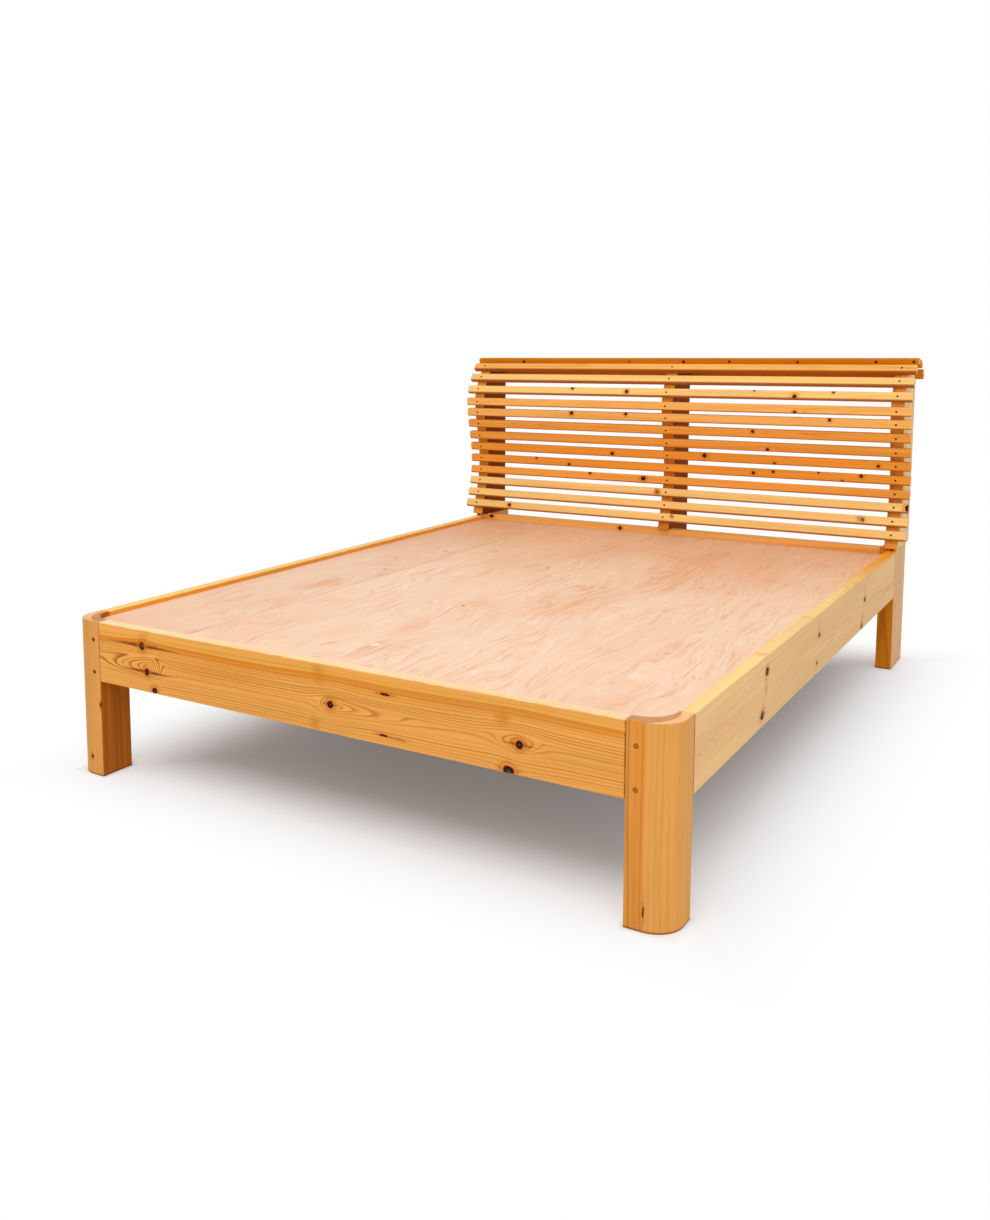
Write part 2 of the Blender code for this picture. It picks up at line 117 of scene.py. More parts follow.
@dataclass(frozen=True)
class Pattern:
    """An uneven pattern in a surface.

    Attributes:
        scales: How many bumps a metre it has along each axis.
        shift: How far it stands from the other patterns of its piece.
        detail: How many finer layers lie on it.
        rough: How strong the finer layers are.
    """

    scales: Scales
    shift: float = 0.0
    detail: float = 2.0
    rough: float = 0.5


class Field:
    """A value that varies over a surface, held as one output of a material's nodes."""

    def __init__(self, graph: "Graph", socket: bpy.types.NodeSocket) -> None:
        """Hold a node's output and the graph that it is in."""
        self.graph = graph
        self.socket = socket

    def __add__(self, other: "Feed") -> "Field":
        """Add a number."""
        return self.graph.math("ADD", self, other)

    __radd__ = __add__

    def __sub__(self, other: "Feed") -> "Field":
        """Take a number away."""
        return self.graph.math("SUBTRACT", self, other)

    def __rsub__(self, other: "Feed") -> "Field":
        """Take this away from a number."""
        return self.graph.math("SUBTRACT", other, self)

    def __mul__(self, other: "Feed") -> "Field":
        """Multiply by a number."""
        return self.graph.math("MULTIPLY", self, other)

    __rmul__ = __mul__

    def __truediv__(self, other: "Feed") -> "Field":
        """Divide by a number."""
        return self.graph.math("DIVIDE", self, other)

    def __rtruediv__(self, other: "Feed") -> "Field":
        """Divide a number by this."""
        return self.graph.math("DIVIDE", other, self)

    def __abs__(self) -> "Field":
        """Drop the sign."""
        return self.graph.math("ABSOLUTE", self)

    def root(self) -> "Field":
        """Take the square root."""
        return self.graph.math("SQRT", self)

    def rest(self) -> "Field":
        """Keep what is past the last whole number."""
        return self.graph.math("FRACT", self)

    def parts(self) -> tuple["Field", "Field", "Field"]:
        """Take a vector apart into its three numbers."""
        node = self.graph.node("ShaderNodeSeparateXYZ", self)
        return tuple(Field(self.graph, output) for output in node.outputs)

    def spread(self, low: float, high: float, start: float = 0.0, end: float = 1.0) -> "Field":
        """Map this number from one range to another with a soft start and end.

        Args:
            low: Where the range starts.
            high: Where the range ends.
            start: The result at the range's start.
            end: The result at the range's end.

        Returns:
            The mapped number.
        """
        node = self.graph.node("ShaderNodeMapRange", self, low, high, start, end,
                               interpolation_type="SMOOTHSTEP")
        return Field(self.graph, node.outputs[0])


Feed = Field | float | Sequence[float]


class Graph:
    """The nodes of a material or a world, with a short call for each kind that is used."""

    def __init__(self, owner: bpy.types.Material | bpy.types.World) -> None:
        """Take over the nodes of a new material or world.

        Args:
            owner: The material or world.
        """
        owner.use_nodes = True
        self.owner = owner
        self.tree = owner.node_tree

    @classmethod
    def named(cls, name: str) -> "Graph":
        """Start a material of that name."""
        return cls(bpy.data.materials.new(name))

    def feed(self, socket: bpy.types.NodeSocket, value: Feed) -> None:
        """Link a socket to a varying value, or set its own.

        Args:
            socket: The socket.
            value: What goes into it.
        """
        if isinstance(value, Field):
            self.tree.links.new(value.socket, socket)
        else:
            socket.default_value = value

    def node(self, kind: str, *feeds: Feed, **settings: object) -> bpy.types.Node:
        """Add a node.

        Args:
            kind: The node's type name.
            feeds: What goes into its first sockets, in order.
            settings: The node's own properties.

        Returns:
            The new node.
        """
        node = self.tree.nodes.new(kind)
        for key, setting in settings.items():
            setattr(node, key, setting)
        for socket, value in zip(node.inputs, feeds):
            self.feed(socket, value)
        return node

    def math(self, operation: str, *feeds: Feed) -> Field:
        """Work out one number from up to three."""
        return Field(self, self.node("ShaderNodeMath", *feeds, operation=operation).outputs[0])

    def vector(self, operation: str, *feeds: Feed) -> Field:
        """Work out a vector, or a length or dot product, from up to three vectors.

        Args:
            operation: What to work out.
            feeds: The vectors.

        Returns:
            The result.
        """
        node = self.node("ShaderNodeVectorMath", *feeds, operation=operation)
        number = operation in ("DOT_PRODUCT", "LENGTH")
        return Field(self, node.outputs["Value" if number else "Vector"])

    def place(self) -> Field:
        """Read the place on the piece, in the bed's own axes."""
        return Field(self, self.node("ShaderNodeTexCoord").outputs["Object"])

    def normal(self) -> Field:
        """Read the way the surface faces."""
        return Field(self, self.node("ShaderNodeNewGeometry").outputs["Normal"])

    def near(self, place: Field, spot: Sequence[float], scale: Sequence[float]) -> Field:
        """Measure a place from a spot.

        Args:
            place: The place.
            spot: What it is measured from.
            scale: What a metre counts for along each axis.

        Returns:
            The way from the spot to the place.
        """
        shift = tuple(-spot[axis] * scale[axis] for axis in range(3))
        return self.vector("MULTIPLY_ADD", place, tuple(scale), shift)

    def noise(self, place: Field, pattern: Pattern, seed: float = 0.0, output: int = 0) -> Field:
        """Add an uneven pattern.

        Args:
            place: Where the pattern is read.
            pattern: The pattern.
            seed: A shift that makes each piece's patterns its own.
            output: 0 for a number, 1 for a vector.

        Returns:
            The pattern, mostly between 0 and 1.
        """
        shift = tuple((seed + pattern.shift) * share for share in SHIFT_SHARES)
        node = self.node("ShaderNodeTexNoise",
                         self.vector("MULTIPLY_ADD", place, pattern.scales, shift))
        node.inputs["Scale"].default_value = 1.0
        node.inputs["Detail"].default_value = pattern.detail
        node.inputs["Roughness"].default_value = pattern.rough
        return Field(self, node.outputs[output])

    def ripple(self, place: Field, pattern: Pattern, seed: float) -> Field:
        """Add an uneven vector that is nought on average."""
        return self.vector("SUBTRACT", self.noise(place, pattern, seed, 1), HALVES)

    def mix(self, share: Feed, first: Feed, second: Feed, blend: str = "MIX") -> Field:
        """Mix two colours.

        Args:
            share: How much of the second colour shows, 0 to 1.
            first: The first colour.
            second: The second colour.
            blend: How the second is laid over the first.

        Returns:
            The mixed colour.
        """
        node = self.node("ShaderNodeMix", share, data_type="RGBA", blend_type=blend)
        self.feed(node.inputs[6], first)
        self.feed(node.inputs[7], second)
        return Field(self, node.outputs[2])

    def layers(self, colour: Feed, *layers: tuple[Field, Colour]) -> Feed:
        """Lay tints over a colour.

        Args:
            colour: The colour under them.
            layers: The share and colour of each tint, from the lowest up.

        Returns:
            The colour that shows.
        """
        for share, tint in layers:
            colour = self.mix(share, colour, tint)
        return colour

    def shade(self, colour: Feed, level: Feed) -> Field:
        """Make a colour lighter or darker by a factor."""
        node = self.node("ShaderNodeHueSaturation", 0.5, 1.0, level, 1.0, colour)
        return Field(self, node.outputs[0])

    def ramp(self, share: Feed, stops: Sequence[tuple[float, Colour]]) -> tuple[Field, Field]:
        """Read a colour and its cover from a row of stops.

        Args:
            share: Where to read, 0 to 1.
            stops: The places and colours of the stops, in order.

        Returns:
            The colour and the cover at that place.
        """
        node = self.node("ShaderNodeValToRGB", share)
        elements = node.color_ramp.elements
        for index, (place, colour) in enumerate(stops):
            element = elements[index] if index < 2 else elements.new(place)
            element.position = place
            element.color = colour
        return Field(self, node.outputs[0]), Field(self, node.outputs[1])

    def finish(self, colour: Field, rough: Field, height: Field, depth: float,
               shine: float) -> bpy.types.Material:
        """Lead a colour, a roughness and a relief to the shader.

        Args:
            colour: The surface colour.
            rough: The surface roughness.
            height: The relief, 0 to 1.
            depth: How deep the relief is, in metres.
            shine: The level of specular light.

        Returns:
            The finished material.
        """
        bump = self.node("ShaderNodeBump")
        bump.inputs["Strength"].default_value = BUMP_STRENGTH
        bump.inputs["Distance"].default_value = depth
        self.feed(bump.inputs["Height"], height)
        shader = self.tree.nodes["Principled BSDF"]
        self.feed(shader.inputs["Base Color"], colour)
        self.feed(shader.inputs["Roughness"], rough)
        self.feed(shader.inputs["Normal"], Field(self, bump.outputs[0]))
        shader.inputs["Specular IOR Level"].default_value = shine
        return self.owner


@dataclass(frozen=True)
class Knot:
    """A knot in a board's face.

    Attributes:
        along: Its place along the grain, in the bed's own coordinate.
        across: Its distance from the board's middle line, upwards or to the right.
        radius: Its half width across the grain.
        stretch: Its length as a share of its width.
        swirl: How far the grain bends round it, 0 to 1.
        flame: How far a dark streak runs from it along the grain, in radii.
        depth: Its place behind the board's middle plane. Without one it goes right through.
    """

    along: float
    across: float
    radius: float
    stretch: float = 1.0
    swirl: float = 0.85
    flame: float = 0.0
    depth: float | None = None


@dataclass(frozen=True)
class Eye:
    """A place where the saw grazed a bulge in the log, so that the rings close into loops.

    Attributes:
        along: Its place along the grain, in the bed's own coordinate.
        across: Its distance from the board's middle line.
        length: Half its length.
        height: Half its height.
        rise: How far the rings bulge there.
        tail: How many times longer the loops are towards the axis's start than its end.
        tilt: How far the loops' middle line rises for each metre along.
        lines: How strongly the loops show, 0 to 1.
    """

    along: float
    across: float
    length: float
    height: float
    rise: float
    tail: float = 1.0
    tilt: float = 0.0
    lines: float = 0.5


@dataclass(frozen=True)
class Stain:
    """A soft patch of another tone in a board's face.

    Attributes:
        along: Its place along the grain, in the bed's own coordinate.
        across: Its distance from the board's middle line.
        length: Half its length.
        height: Half its height.
        tint: Its colour, with its share at the middle as the cover.
    """

    along: float
    across: float
    length: float
    height: float
    tint: Colour


@dataclass(frozen=True)
class Log:
    """How a board lay in its log.

    Attributes:
        pith_across: The pith's distance from the board's middle line.
        pith_depth: The pith's distance behind the board's middle plane.
        drift_across: How far the pith moves across for each metre along.
        drift_depth: How far the pith moves back for each metre along.
        ring: The width of a year's ring.
        heart: The radius at which heartwood turns to sapwood.
        wander: How far the grain wavers.
        lines: How strongly the late rings show, 0 to 1.
        fade: How strongly they show at the lower edge, as a share of that.
    """

    pith_across: float
    pith_depth: float
    drift_across: float = 0.0
    drift_depth: float = 0.0
    ring: float = 0.0042
    heart: float = 0.08
    wander: float = 0.008
    lines: float = 0.8
    fade: float = 1.0

    @classmethod
    def drawn(cls, name: str, lines: float) -> "Log":
        """Draw a board's place in its log.

        Args:
            name: The board's name, which the draw starts from.
            lines: How strongly its late rings show.

        Returns:
            The board's log.
        """
        draw = random.Random(name)
        return cls(
            pith_across=draw.uniform(-0.05, 0.05),
            pith_depth=draw.choice((-1, 1)) * draw.uniform(0.025, 0.08),
            drift_across=draw.uniform(-0.02, 0.02),
            drift_depth=draw.uniform(-0.02, 0.02),
            ring=draw.uniform(0.0026, 0.0042),
            heart=draw.uniform(0.03, 0.09),
            lines=lines,
        )


@dataclass(frozen=True)
class Tones:
    """The colours of a pine board.

    Attributes:
        sap: Sapwood.
        sap_line: The late rings in sapwood.
        heart: Heartwood.
        heart_line: The late rings in heartwood.
        rim: The deep band where heartwood meets sapwood.
        top_light_and_wear: A painted highlight on faces that look up, and the paler upper
            arrises, which are partly wear and partly painted highlight.
        lower_shade: The painted shade on the lower arris.
    """

    sap: Colour
    sap_line: Colour
    heart: Colour
    heart_line: Colour
    rim: Colour
    top_light_and_wear: Colour
    lower_shade: Colour = paint(132, 66, 12)


# Painted shade under the slats' lower arrises.
SLAT_LOWER_SHADE = paint(172, 80, 6)
HONEY = Tones(paint(239, 168, 78), paint(219, 136, 38), paint(240, 167, 80), paint(152, 68, 0),
              paint(222, 134, 30), paint(255, 224, 176))
LEG = Tones(paint(228, 160, 81), paint(206, 128, 46), paint(231, 158, 75), paint(160, 78, 4),
            paint(218, 138, 54), paint(244, 190, 132))
CREAM = Tones(paint(243, 195, 134), paint(212, 150, 86), paint(242, 192, 131),
              paint(200, 136, 72), paint(241, 190, 129), paint(255, 216, 144))
GOLD = Tones(paint(240, 160, 52), paint(226, 138, 36), paint(236, 150, 42), paint(194, 104, 18),
             paint(226, 136, 32), paint(254, 214, 136))
STRAW = Tones(paint(255, 206, 127), paint(248, 178, 84), paint(255, 198, 116),
              paint(228, 142, 36), paint(250, 186, 92), paint(255, 216, 142), SLAT_LOWER_SHADE)
AMBER = Tones(paint(252, 184, 98), paint(238, 156, 60), paint(248, 176, 84),
              paint(206, 112, 14), paint(238, 158, 58), paint(255, 200, 114), SLAT_LOWER_SHADE)
ORANGE = Tones(paint(245, 163, 70), paint(228, 134, 38), paint(240, 155, 60),
               paint(196, 102, 10), paint(232, 142, 42), paint(250, 182, 90), SLAT_LOWER_SHADE)
COPPER = Tones(paint(242, 154, 56), paint(222, 124, 28), paint(236, 146, 48),
               paint(190, 94, 8), paint(226, 132, 34), paint(248, 172, 78), SLAT_LOWER_SHADE)
# Painted shade: a darker tone for slats 14 to 16, at the top of the roll and behind it, where
# they lie in shade.
RUSSET_SHADE = Tones(paint(219, 127, 20), paint(196, 100, 8), paint(210, 114, 12), paint(164, 72, 4),
               paint(200, 100, 8), paint(222, 132, 24))
# Painted shade: a darker tone for the right head leg's front, which lies in the bed's shade.
CHESTNUT_SHADE = Tones(paint(222, 137, 30), paint(184, 94, 10), paint(212, 123, 20),
                 paint(150, 70, 4), paint(196, 102, 12), paint(230, 142, 38))
CARAMEL = Tones(paint(236, 158, 64), paint(206, 118, 26), paint(228, 147, 54),
                paint(178, 92, 10), paint(212, 128, 38), paint(236, 160, 68))


@dataclass(frozen=True)
class Board:
    """A piece of timber and the figure that shows in it.

    Attributes:
        node: The name of the CAD node.
        grain: The way its fibres run.
        tones: Its colours.
        log: Where it lay in its log. Drawn from its name where none is given.
        knots: Its knots.
        eyes: Its closed loops of rings.
        stains: Its soft patches.
        edge_stains: The patches that also show over the painted highlight on its upper edge, and
            on its ends.
        lean: How far it leans back about the bed's cross axis.
        halo: How strong the orange stain round its knots is, 0 to 1.
        right_face_lighting: A tone painted on the face that looks to the right, as painted shade
            on some boards and painted light on others, with its share as the cover.
        lower_shade: How dark the painted shade on the lower arris is, 0 to 1.
        shine: The level of its specular light.
    """

    node: str
    grain: Grain
    tones: Tones
    log: Log | None = None
    knots: tuple[Knot, ...] = ()
    eyes: tuple[Eye, ...] = ()
    stains: tuple[Stain, ...] = ()
    edge_stains: tuple[Stain, ...] = ()
    lean: float = 0.0
    halo: float = 1.0
    right_face_lighting: Colour | None = None
    lower_shade: float = 0.0
    shine: float = 0.06

    @property
    def middle(self) -> Vector:
        """The middle of the board, in the bed."""
        return box_middle(self.node)

    @property
    def turn(self) -> Euler:
        """The turn that takes the bed's axes to the board's: along, depth and across."""
        return Euler((-self.lean, 0.0, 0.0)) if self.lean else Euler(self.grain.value)

    @property
    def axis(self) -> Vector:
        """The way the fibres run, in the bed."""
        return self.turn.to_matrix() @ Vector((1.0, 0.0, 0.0))

    @property
    def half(self) -> tuple[float, float, float]:
        """Measure the board in its own axes.

        Returns:
            Half its size along, in depth and across.
        """
        middle, back = self.middle, self.turn.to_matrix().transposed()
        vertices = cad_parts[self.node].data.vertices
        corners = [back @ (vertex.co - middle) for vertex in vertices]
        return tuple(max(abs(corner[axis]) for corner in corners) for axis in range(3))

    def local(self, along: float, across: float) -> Vector:
        """Give a place on the board in the board's own axes.

        Args:
            along: The place along the grain, in the bed's own coordinate.
            across: The distance from the middle line.

        Returns:
            The place, with no depth.
        """
        return Vector((along - self.middle.dot(self.axis), 0.0, self.grain.side * across))


@dataclass(frozen=True)
class Pine:
    """Oiled pine: the colours of knots and end grain, the sizes of its figure, and its sheen."""

    knot_core: Colour = paint(112, 78, 58)
    knot_dark: Colour = paint(54, 28, 16)
    knot_rim: Colour = paint(18, 6, 3)
    knot_red: Colour = paint(126, 50, 8)
    knot_stain: Colour = paint(186, 90, 14)
    knot_halo: Colour = paint(214, 122, 30)
    flame_brown: Colour = paint(132, 56, 4)
    end_heart: Colour = paint(202, 144, 106)
    end_sap: Colour = paint(248, 194, 140)
    streaks: Pattern = Pattern((1.6, 110.0, 110.0), 3)
    fibres: Pattern = Pattern((9.0, 520.0, 520.0), rough=0.6)
    blotches: Pattern = Pattern((1.6, 14.0, 14.0), 7)
    ragged: Pattern = Pattern((120.0, 120.0, 120.0))
    wavering: Pattern = Pattern((1.1, 7.0, 7.0), 11)
    shivers: Pattern = Pattern((5.0, 60.0, 60.0), 17)
    patches: Pattern = Pattern((60.0, 60.0, 60.0), 29)
    rubbing: Pattern = Pattern((30.0, 60.0, 60.0), 23)
    level_by_fibre: Range = (0.2, 0.8, 0.95, 1.04)
    level_by_streak: Range = (0.2, 0.8, 0.92, 1.06)
    level_by_blotch: Range = (0.25, 0.75, 0.94, 1.05)
    rim_by_streak: Range = (0.3, 0.65, 0.45, 1.0)
    right_face_lighting_by_streak: Range = (0.3, 0.7, 0.82, 1.12)
    ragged_reach: Scales = (0.005, 0.0, 0.0035)
    knot_spread: Scales = (0.05, 0.0, 0.15)
    knot_reach: float = 3.2
    flame_fade: Range = (0.25, 1.0, 0.95, 0.0)
    loop_point: float = 1.35
    loop_reach: Range = (0.5, 1.8)
    loop_rise: float = 1.2
    loop_show: tuple[float, float] = (0.9, 1.4)
    heart_edge: float = 0.0015
    rim_inner: float = 0.028
    rim_outer: float = 0.004
    year_change: float = 55.0
    year_uneven: float = 2.6
    year_shiver: float = 0.35
    weak_year: float = 0.3
    late_start: Range = (0.58, 0.9)
    late_stop: Range = (0.94, 1.0, 1.0, 0.0)
    fade_stop: float = 0.2
    sap_lines: float = 0.6
    rim_lines: float = 0.4
    plain_lines: float = 0.5
    patch_ripple: float = 0.9
    patch_fade: tuple[float, float] = (0.1, 1.2)
    lower_shade_height: float = 0.006
    lower_shade_full: float = 0.3
    worn_and_lit: Range = (0.001, 0.004, 1.0, 0.0)
    worn_and_lit_by_rubbing: Range = (0.35, 0.65, 0.2, 0.7)
    worn_and_lit_upwards: Range = (-0.02, 0.02, 0.15, 1.0)
    top_light_share: float = 0.85
    end_facing: Range = (0.75, 0.95)
    end_cover: float = 0.85
    end_rough: float = 0.18
    rough: Range = (0.2, 0.8, 0.40, 0.58)
    relief: float = 0.00012
    relief_share: float = 0.5

    def dress(self, board: Board, top_light_and_arris_wear: bool = True) -> bpy.types.Material:
        """Make the material of one board.

        Args:
            board: The board and its figure.
            top_light_and_arris_wear: Whether its up-facing faces get a painted highlight and its
                arrises are paled, partly by wear and partly by painted highlight, as on a square
                section.

        Returns:
            The board's own material.
        """
        return PineFigure(self, board).coloured(top_light_and_arris_wear)


class PineFigure:
    """The figure of one board, worked out from its log, its knots and its loops."""

    def __init__(self, finish: Pine, board: Board) -> None:
        """Start the board's material, find the place on the board and lay out its grain.

        Args:
            finish: The colours and sizes that all pine shares.
            board: The board.
        """
        self.finish = finish
        self.board = board
        self.half = board.half
        self.log = board.log or Log.drawn(board.node, finish.plain_lines)
        self.seed = random.Random(f"seed {board.node}").uniform(0.0, 40.0)
        self.graph = Graph.named(f"pine_{board.node}")
        mapping = self.graph.node("ShaderNodeMapping", self.graph.place(), tuple(board.middle),
                                  tuple(board.turn), vector_type="TEXTURE")
        self.place = Field(self.graph, mapping.outputs[0])
        self.along, self.depth, self.across = self.place.parts()
        self.grain: Field = self.across
        self.bulge: Feed = 0.0
        self.flame: Field | None = None
        self.knot = self.bend_round_knots()
        self.line, self.heart, self.rim = self.rings()

    def bend_round_knots(self) -> Field:
        """Push the grain out round each knot.

        Returns:
            The distance to the nearest knot, in radii.
        """
        graph, finish = self.graph, self.finish
        ripple = graph.ripple(self.place, finish.ragged, self.seed)
        ragged = graph.vector("MULTIPLY_ADD", ripple, finish.ragged_reach, self.place)
        nearest: Feed = FAR
        for knot in self.board.knots:
            spot = self.board.local(knot.along, knot.across)
            scale = Vector((1 / (knot.radius * knot.stretch), 0.0, 1 / knot.radius))
            if knot.depth is not None:
                spot.y = knot.depth
                scale.y = scale.z
            near = graph.near(ragged, spot, scale)
            nearest = graph.math("MINIMUM", graph.vector("DOT_PRODUCT", near, near), nearest)
            if knot.flame:
                arms = graph.vector("DOT_PRODUCT", graph.vector("ABSOLUTE", near),
                                    (1 / knot.flame, 0.0, 1.0))
                self.flame = graph.math("MINIMUM", arms, self.flame or FAR)
            wide = graph.vector("MULTIPLY", near, finish.knot_spread)
            fall = knot.radius * knot.swirl / (graph.vector("DOT_PRODUCT", near, wide) + 1.0)
            self.grain = self.grain - near.parts()[2] * fall
            self.bulge = fall * fall * (1 / knot.radius) + self.bulge
        return graph.math("SQRT", nearest)

    def close_loops(self) -> Feed:
        """Close the rings into loops round each eye.

        Returns:
            How strongly the loops show.
        """
        graph, finish = self.graph, self.finish
        inside: Feed = 0.0
        for eye in self.board.eyes:
            spot = self.board.local(eye.along, eye.across)
            near = graph.near(self.place, spot, (1 / eye.length, 0.0, 1 / eye.height))
            lengthwise, _, crosswise = near.parts()
            crosswise = lengthwise * (-eye.tilt * eye.length / eye.height) + crosswise
            behind = graph.math("MINIMUM", lengthwise, 0.0)
            lengthwise = behind * (1 / eye.tail - 1.0) + lengthwise
            pointed = graph.math("POWER", abs(lengthwise), finish.loop_point)
            away = (crosswise * crosswise + pointed).root()
            self.grain = (self.grain - spot.z) * away.spread(*finish.loop_reach) + spot.z
            self.bulge = away.spread(0.0, finish.loop_rise, eye.rise, 0.0) + self.bulge
            show = away.spread(*finish.loop_show, eye.lines, 0.0)
            inside = graph.math("MAXIMUM", inside, show)
        return inside

    def rings(self) -> tuple[Field, Field, Field]:
        """Cut the log's year rings by the board.

        Returns:
            How much late wood there is, how much heartwood, and how near its rim is.
        """
        graph, finish, log = self.graph, self.finish, self.log
        waver = graph.noise(self.place, finish.wavering, self.seed, 1)
        waver = graph.vector("MULTIPLY_ADD", waver, (0.0, log.wander * 2, log.wander * 2),
                             (0.0, -log.wander, -log.wander))
        _, waver_depth, waver_across = waver.parts()
        pith_across = self.along * log.drift_across + self.board.grain.side * log.pith_across
        pith_depth = self.along * log.drift_depth + log.pith_depth
        deep = self.depth + waver_depth - pith_depth

        def from_pith() -> Field:
            """Measure how far the grain is from the pith."""
            wide = self.grain + waver_across - pith_across
            return (wide * wide + deep * deep).root()

        radius = from_pith()
        heart = radius.spread(log.heart - finish.heart_edge, log.heart + finish.heart_edge,
                              1.0, 0.0)
        rim = radius.spread(log.heart - finish.rim_inner, log.heart - finish.rim_outer)
        inside = self.close_loops()
        radius = from_pith() + self.bulge
        uneven = graph.node("ShaderNodeTexNoise", noise_dimensions="1D")
        uneven.inputs["Scale"].default_value = 1.0
        graph.feed(uneven.inputs["W"], radius * finish.year_change + self.seed)
        years = Field(graph, uneven.outputs[0]) * finish.year_uneven + radius / log.ring
        shiver = graph.noise(self.place, finish.shivers, self.seed)
        years = shiver * finish.year_shiver + years
        part = years.rest()
        late = part.spread(*finish.late_start) * part.spread(*finish.late_stop)
        year = graph.node("ShaderNodeTexWhiteNoise", noise_dimensions="1D")
        graph.feed(year.inputs["W"], graph.math("FLOOR", years))
        strong = Field(graph, year.outputs[0]).spread(0.0, 1.0, finish.weak_year * log.lines,
                                                      log.lines)
        if log.fade < 1.0:
            low = self.half[2]
            strong = strong * self.across.spread(-low, finish.fade_stop * low, log.fade)
        return late * graph.math("MAXIMUM", strong, inside), heart, rim

    def coloured(self, top_light_and_arris_wear: bool) -> bpy.types.Material:
        """Colour the figure.

        Args:
            top_light_and_arris_wear: Whether the up-facing faces get a painted highlight and the
                arrises are paled, partly by wear and partly by painted highlight.

        Returns:
            The board's material.
        """
        graph, finish, board, tones = self.graph, self.finish, self.board, self.board.tones
        streak, fibre, blotch = (graph.noise(self.place, pattern, self.seed)
                                 for pattern in (finish.streaks, finish.fibres, finish.blotches))
        sap = graph.mix(self.line * finish.sap_lines, tones.sap, tones.sap_line)
        core = graph.layers(
            tones.heart,
            (self.rim * streak.spread(*finish.rim_by_streak), tones.rim),
            (self.line * self.rim.spread(0.0, 1.0, 1.0, finish.rim_lines), tones.heart_line),
        )
        level = fibre.spread(*finish.level_by_fibre) * streak.spread(*finish.level_by_streak)
        level = level * blotch.spread(*finish.level_by_blotch)
        colour = graph.shade(graph.mix(self.heart, sap, core), level)
        if board.knots:
            colour = self.stain_knots(colour)
        normal = graph.normal()
        rightward, _, upward = normal.parts()
        # The face that looks to the right gets painted shade on some boards and painted light on
        # others.
        if board.right_face_lighting:
            stripe = level * streak.spread(*finish.right_face_lighting_by_streak)
            colour = graph.mix(rightward.spread(*FACING, 0.0, board.right_face_lighting[3]), colour,
                               graph.shade(board.right_face_lighting, stripe))
        # Painted shade along the lowest few millimetres of the board.
        if board.lower_shade:
            colour = self.paint_lower_shade(colour)
        colour = self.lay_stains(board.stains, colour)
        # Painted highlight on faces that look up, laid over arrises paled partly by wear and
        # partly by painted highlight.
        if top_light_and_arris_wear:
            colour = graph.mix(upward.spread(*FACING, 0.0, finish.top_light_share),
                               self.light_and_wear_arrises(colour), graph.shade(tones.top_light_and_wear, level))
        end = abs(graph.vector("DOT_PRODUCT", normal, tuple(board.axis)))
        end = end.spread(*finish.end_facing)
        end_wood = graph.mix(self.heart, finish.end_sap, finish.end_heart)
        colour = graph.mix(end * finish.end_cover, colour, graph.shade(end_wood, level))
        colour = self.lay_stains(board.edge_stains, colour)
        rough = streak.spread(*finish.rough) + end * finish.end_rough
        height = self.line * finish.relief_share + fibre * (1.0 - finish.relief_share)
        return graph.finish(colour, rough, height, finish.relief, board.shine)

    def stain_knots(self, colour: Field) -> Field:
        """Lay the knots, their orange halo and the dark streaks beside them over the wood.

        Args:
            colour: The wood's colour.

        Returns:
            The colour with its knots.
        """
        finish, halo = self.finish, self.board.halo
        if self.flame:
            streak = self.flame.spread(*finish.flame_fade)
            colour = self.graph.mix(streak, colour, finish.flame_brown)
        stops = (
            (0.0, finish.knot_core, 1.0),
            (0.4, finish.knot_dark, 1.0),
            (0.9, finish.knot_rim, 1.0),
            (1.06, finish.knot_red, 0.95),
            (1.3, finish.knot_halo, 0.7 * halo),
            (1.6, finish.knot_halo, 0.3 * halo),
            (1.85, finish.knot_stain, 0.7 * halo),
            (2.1, finish.knot_halo, 0.3 * halo),
            (finish.knot_reach, finish.knot_halo, 0.0),
        )
        row = [(away / finish.knot_reach, tint[:3] + (cover,)) for away, tint, cover in stops]
        stain, cover = self.graph.ramp(self.knot / finish.knot_reach, row)
        return self.graph.mix(cover, colour, stain)

    def paint_lower_shade(self, colour: Field) -> Field:
        """Darken the lowest few millimetres of the board with painted shade.

        Args:
            colour: The wood's colour.

        Returns:
            The colour with its dark arris.
        """
        upright = self.board.grain is Grain.UPRIGHT
        rise = self.along + self.half[0] if upright else self.across + self.half[2]
        deep = self.finish.lower_shade_height
        share = rise.spread(deep * self.finish.lower_shade_full, deep, self.board.lower_shade, 0.0)
        return self.graph.mix(share, colour, self.board.tones.lower_shade)

    def lay_stains(self, stains: Sequence[Stain], colour: Field) -> Field:
        """Lay soft patches over the wood's colour.

        Args:
            stains: The patches.
            colour: The wood's colour.

        Returns:
            The colour with its patches.
        """
        if not stains:
            return colour
        graph, finish, reach = self.graph, self.finish, self.finish.patch_ripple
        ripple = graph.noise(self.place, finish.patches, self.seed, 1)
        ripple = graph.vector("MULTIPLY_ADD", ripple, (reach, 0.0, reach),
                              (-reach / 2, 0.0, -reach / 2))
        for stain in stains:
            spot = self.board.local(stain.along, stain.across)
            near = graph.near(self.place, spot, (1 / stain.length, 0.0, 1 / stain.height))
            away = graph.vector("LENGTH", graph.vector("ADD", near, ripple))
            share = away.spread(*finish.patch_fade, stain.tint[3], 0.0)
            colour = graph.mix(share, colour, stain.tint)
        return colour

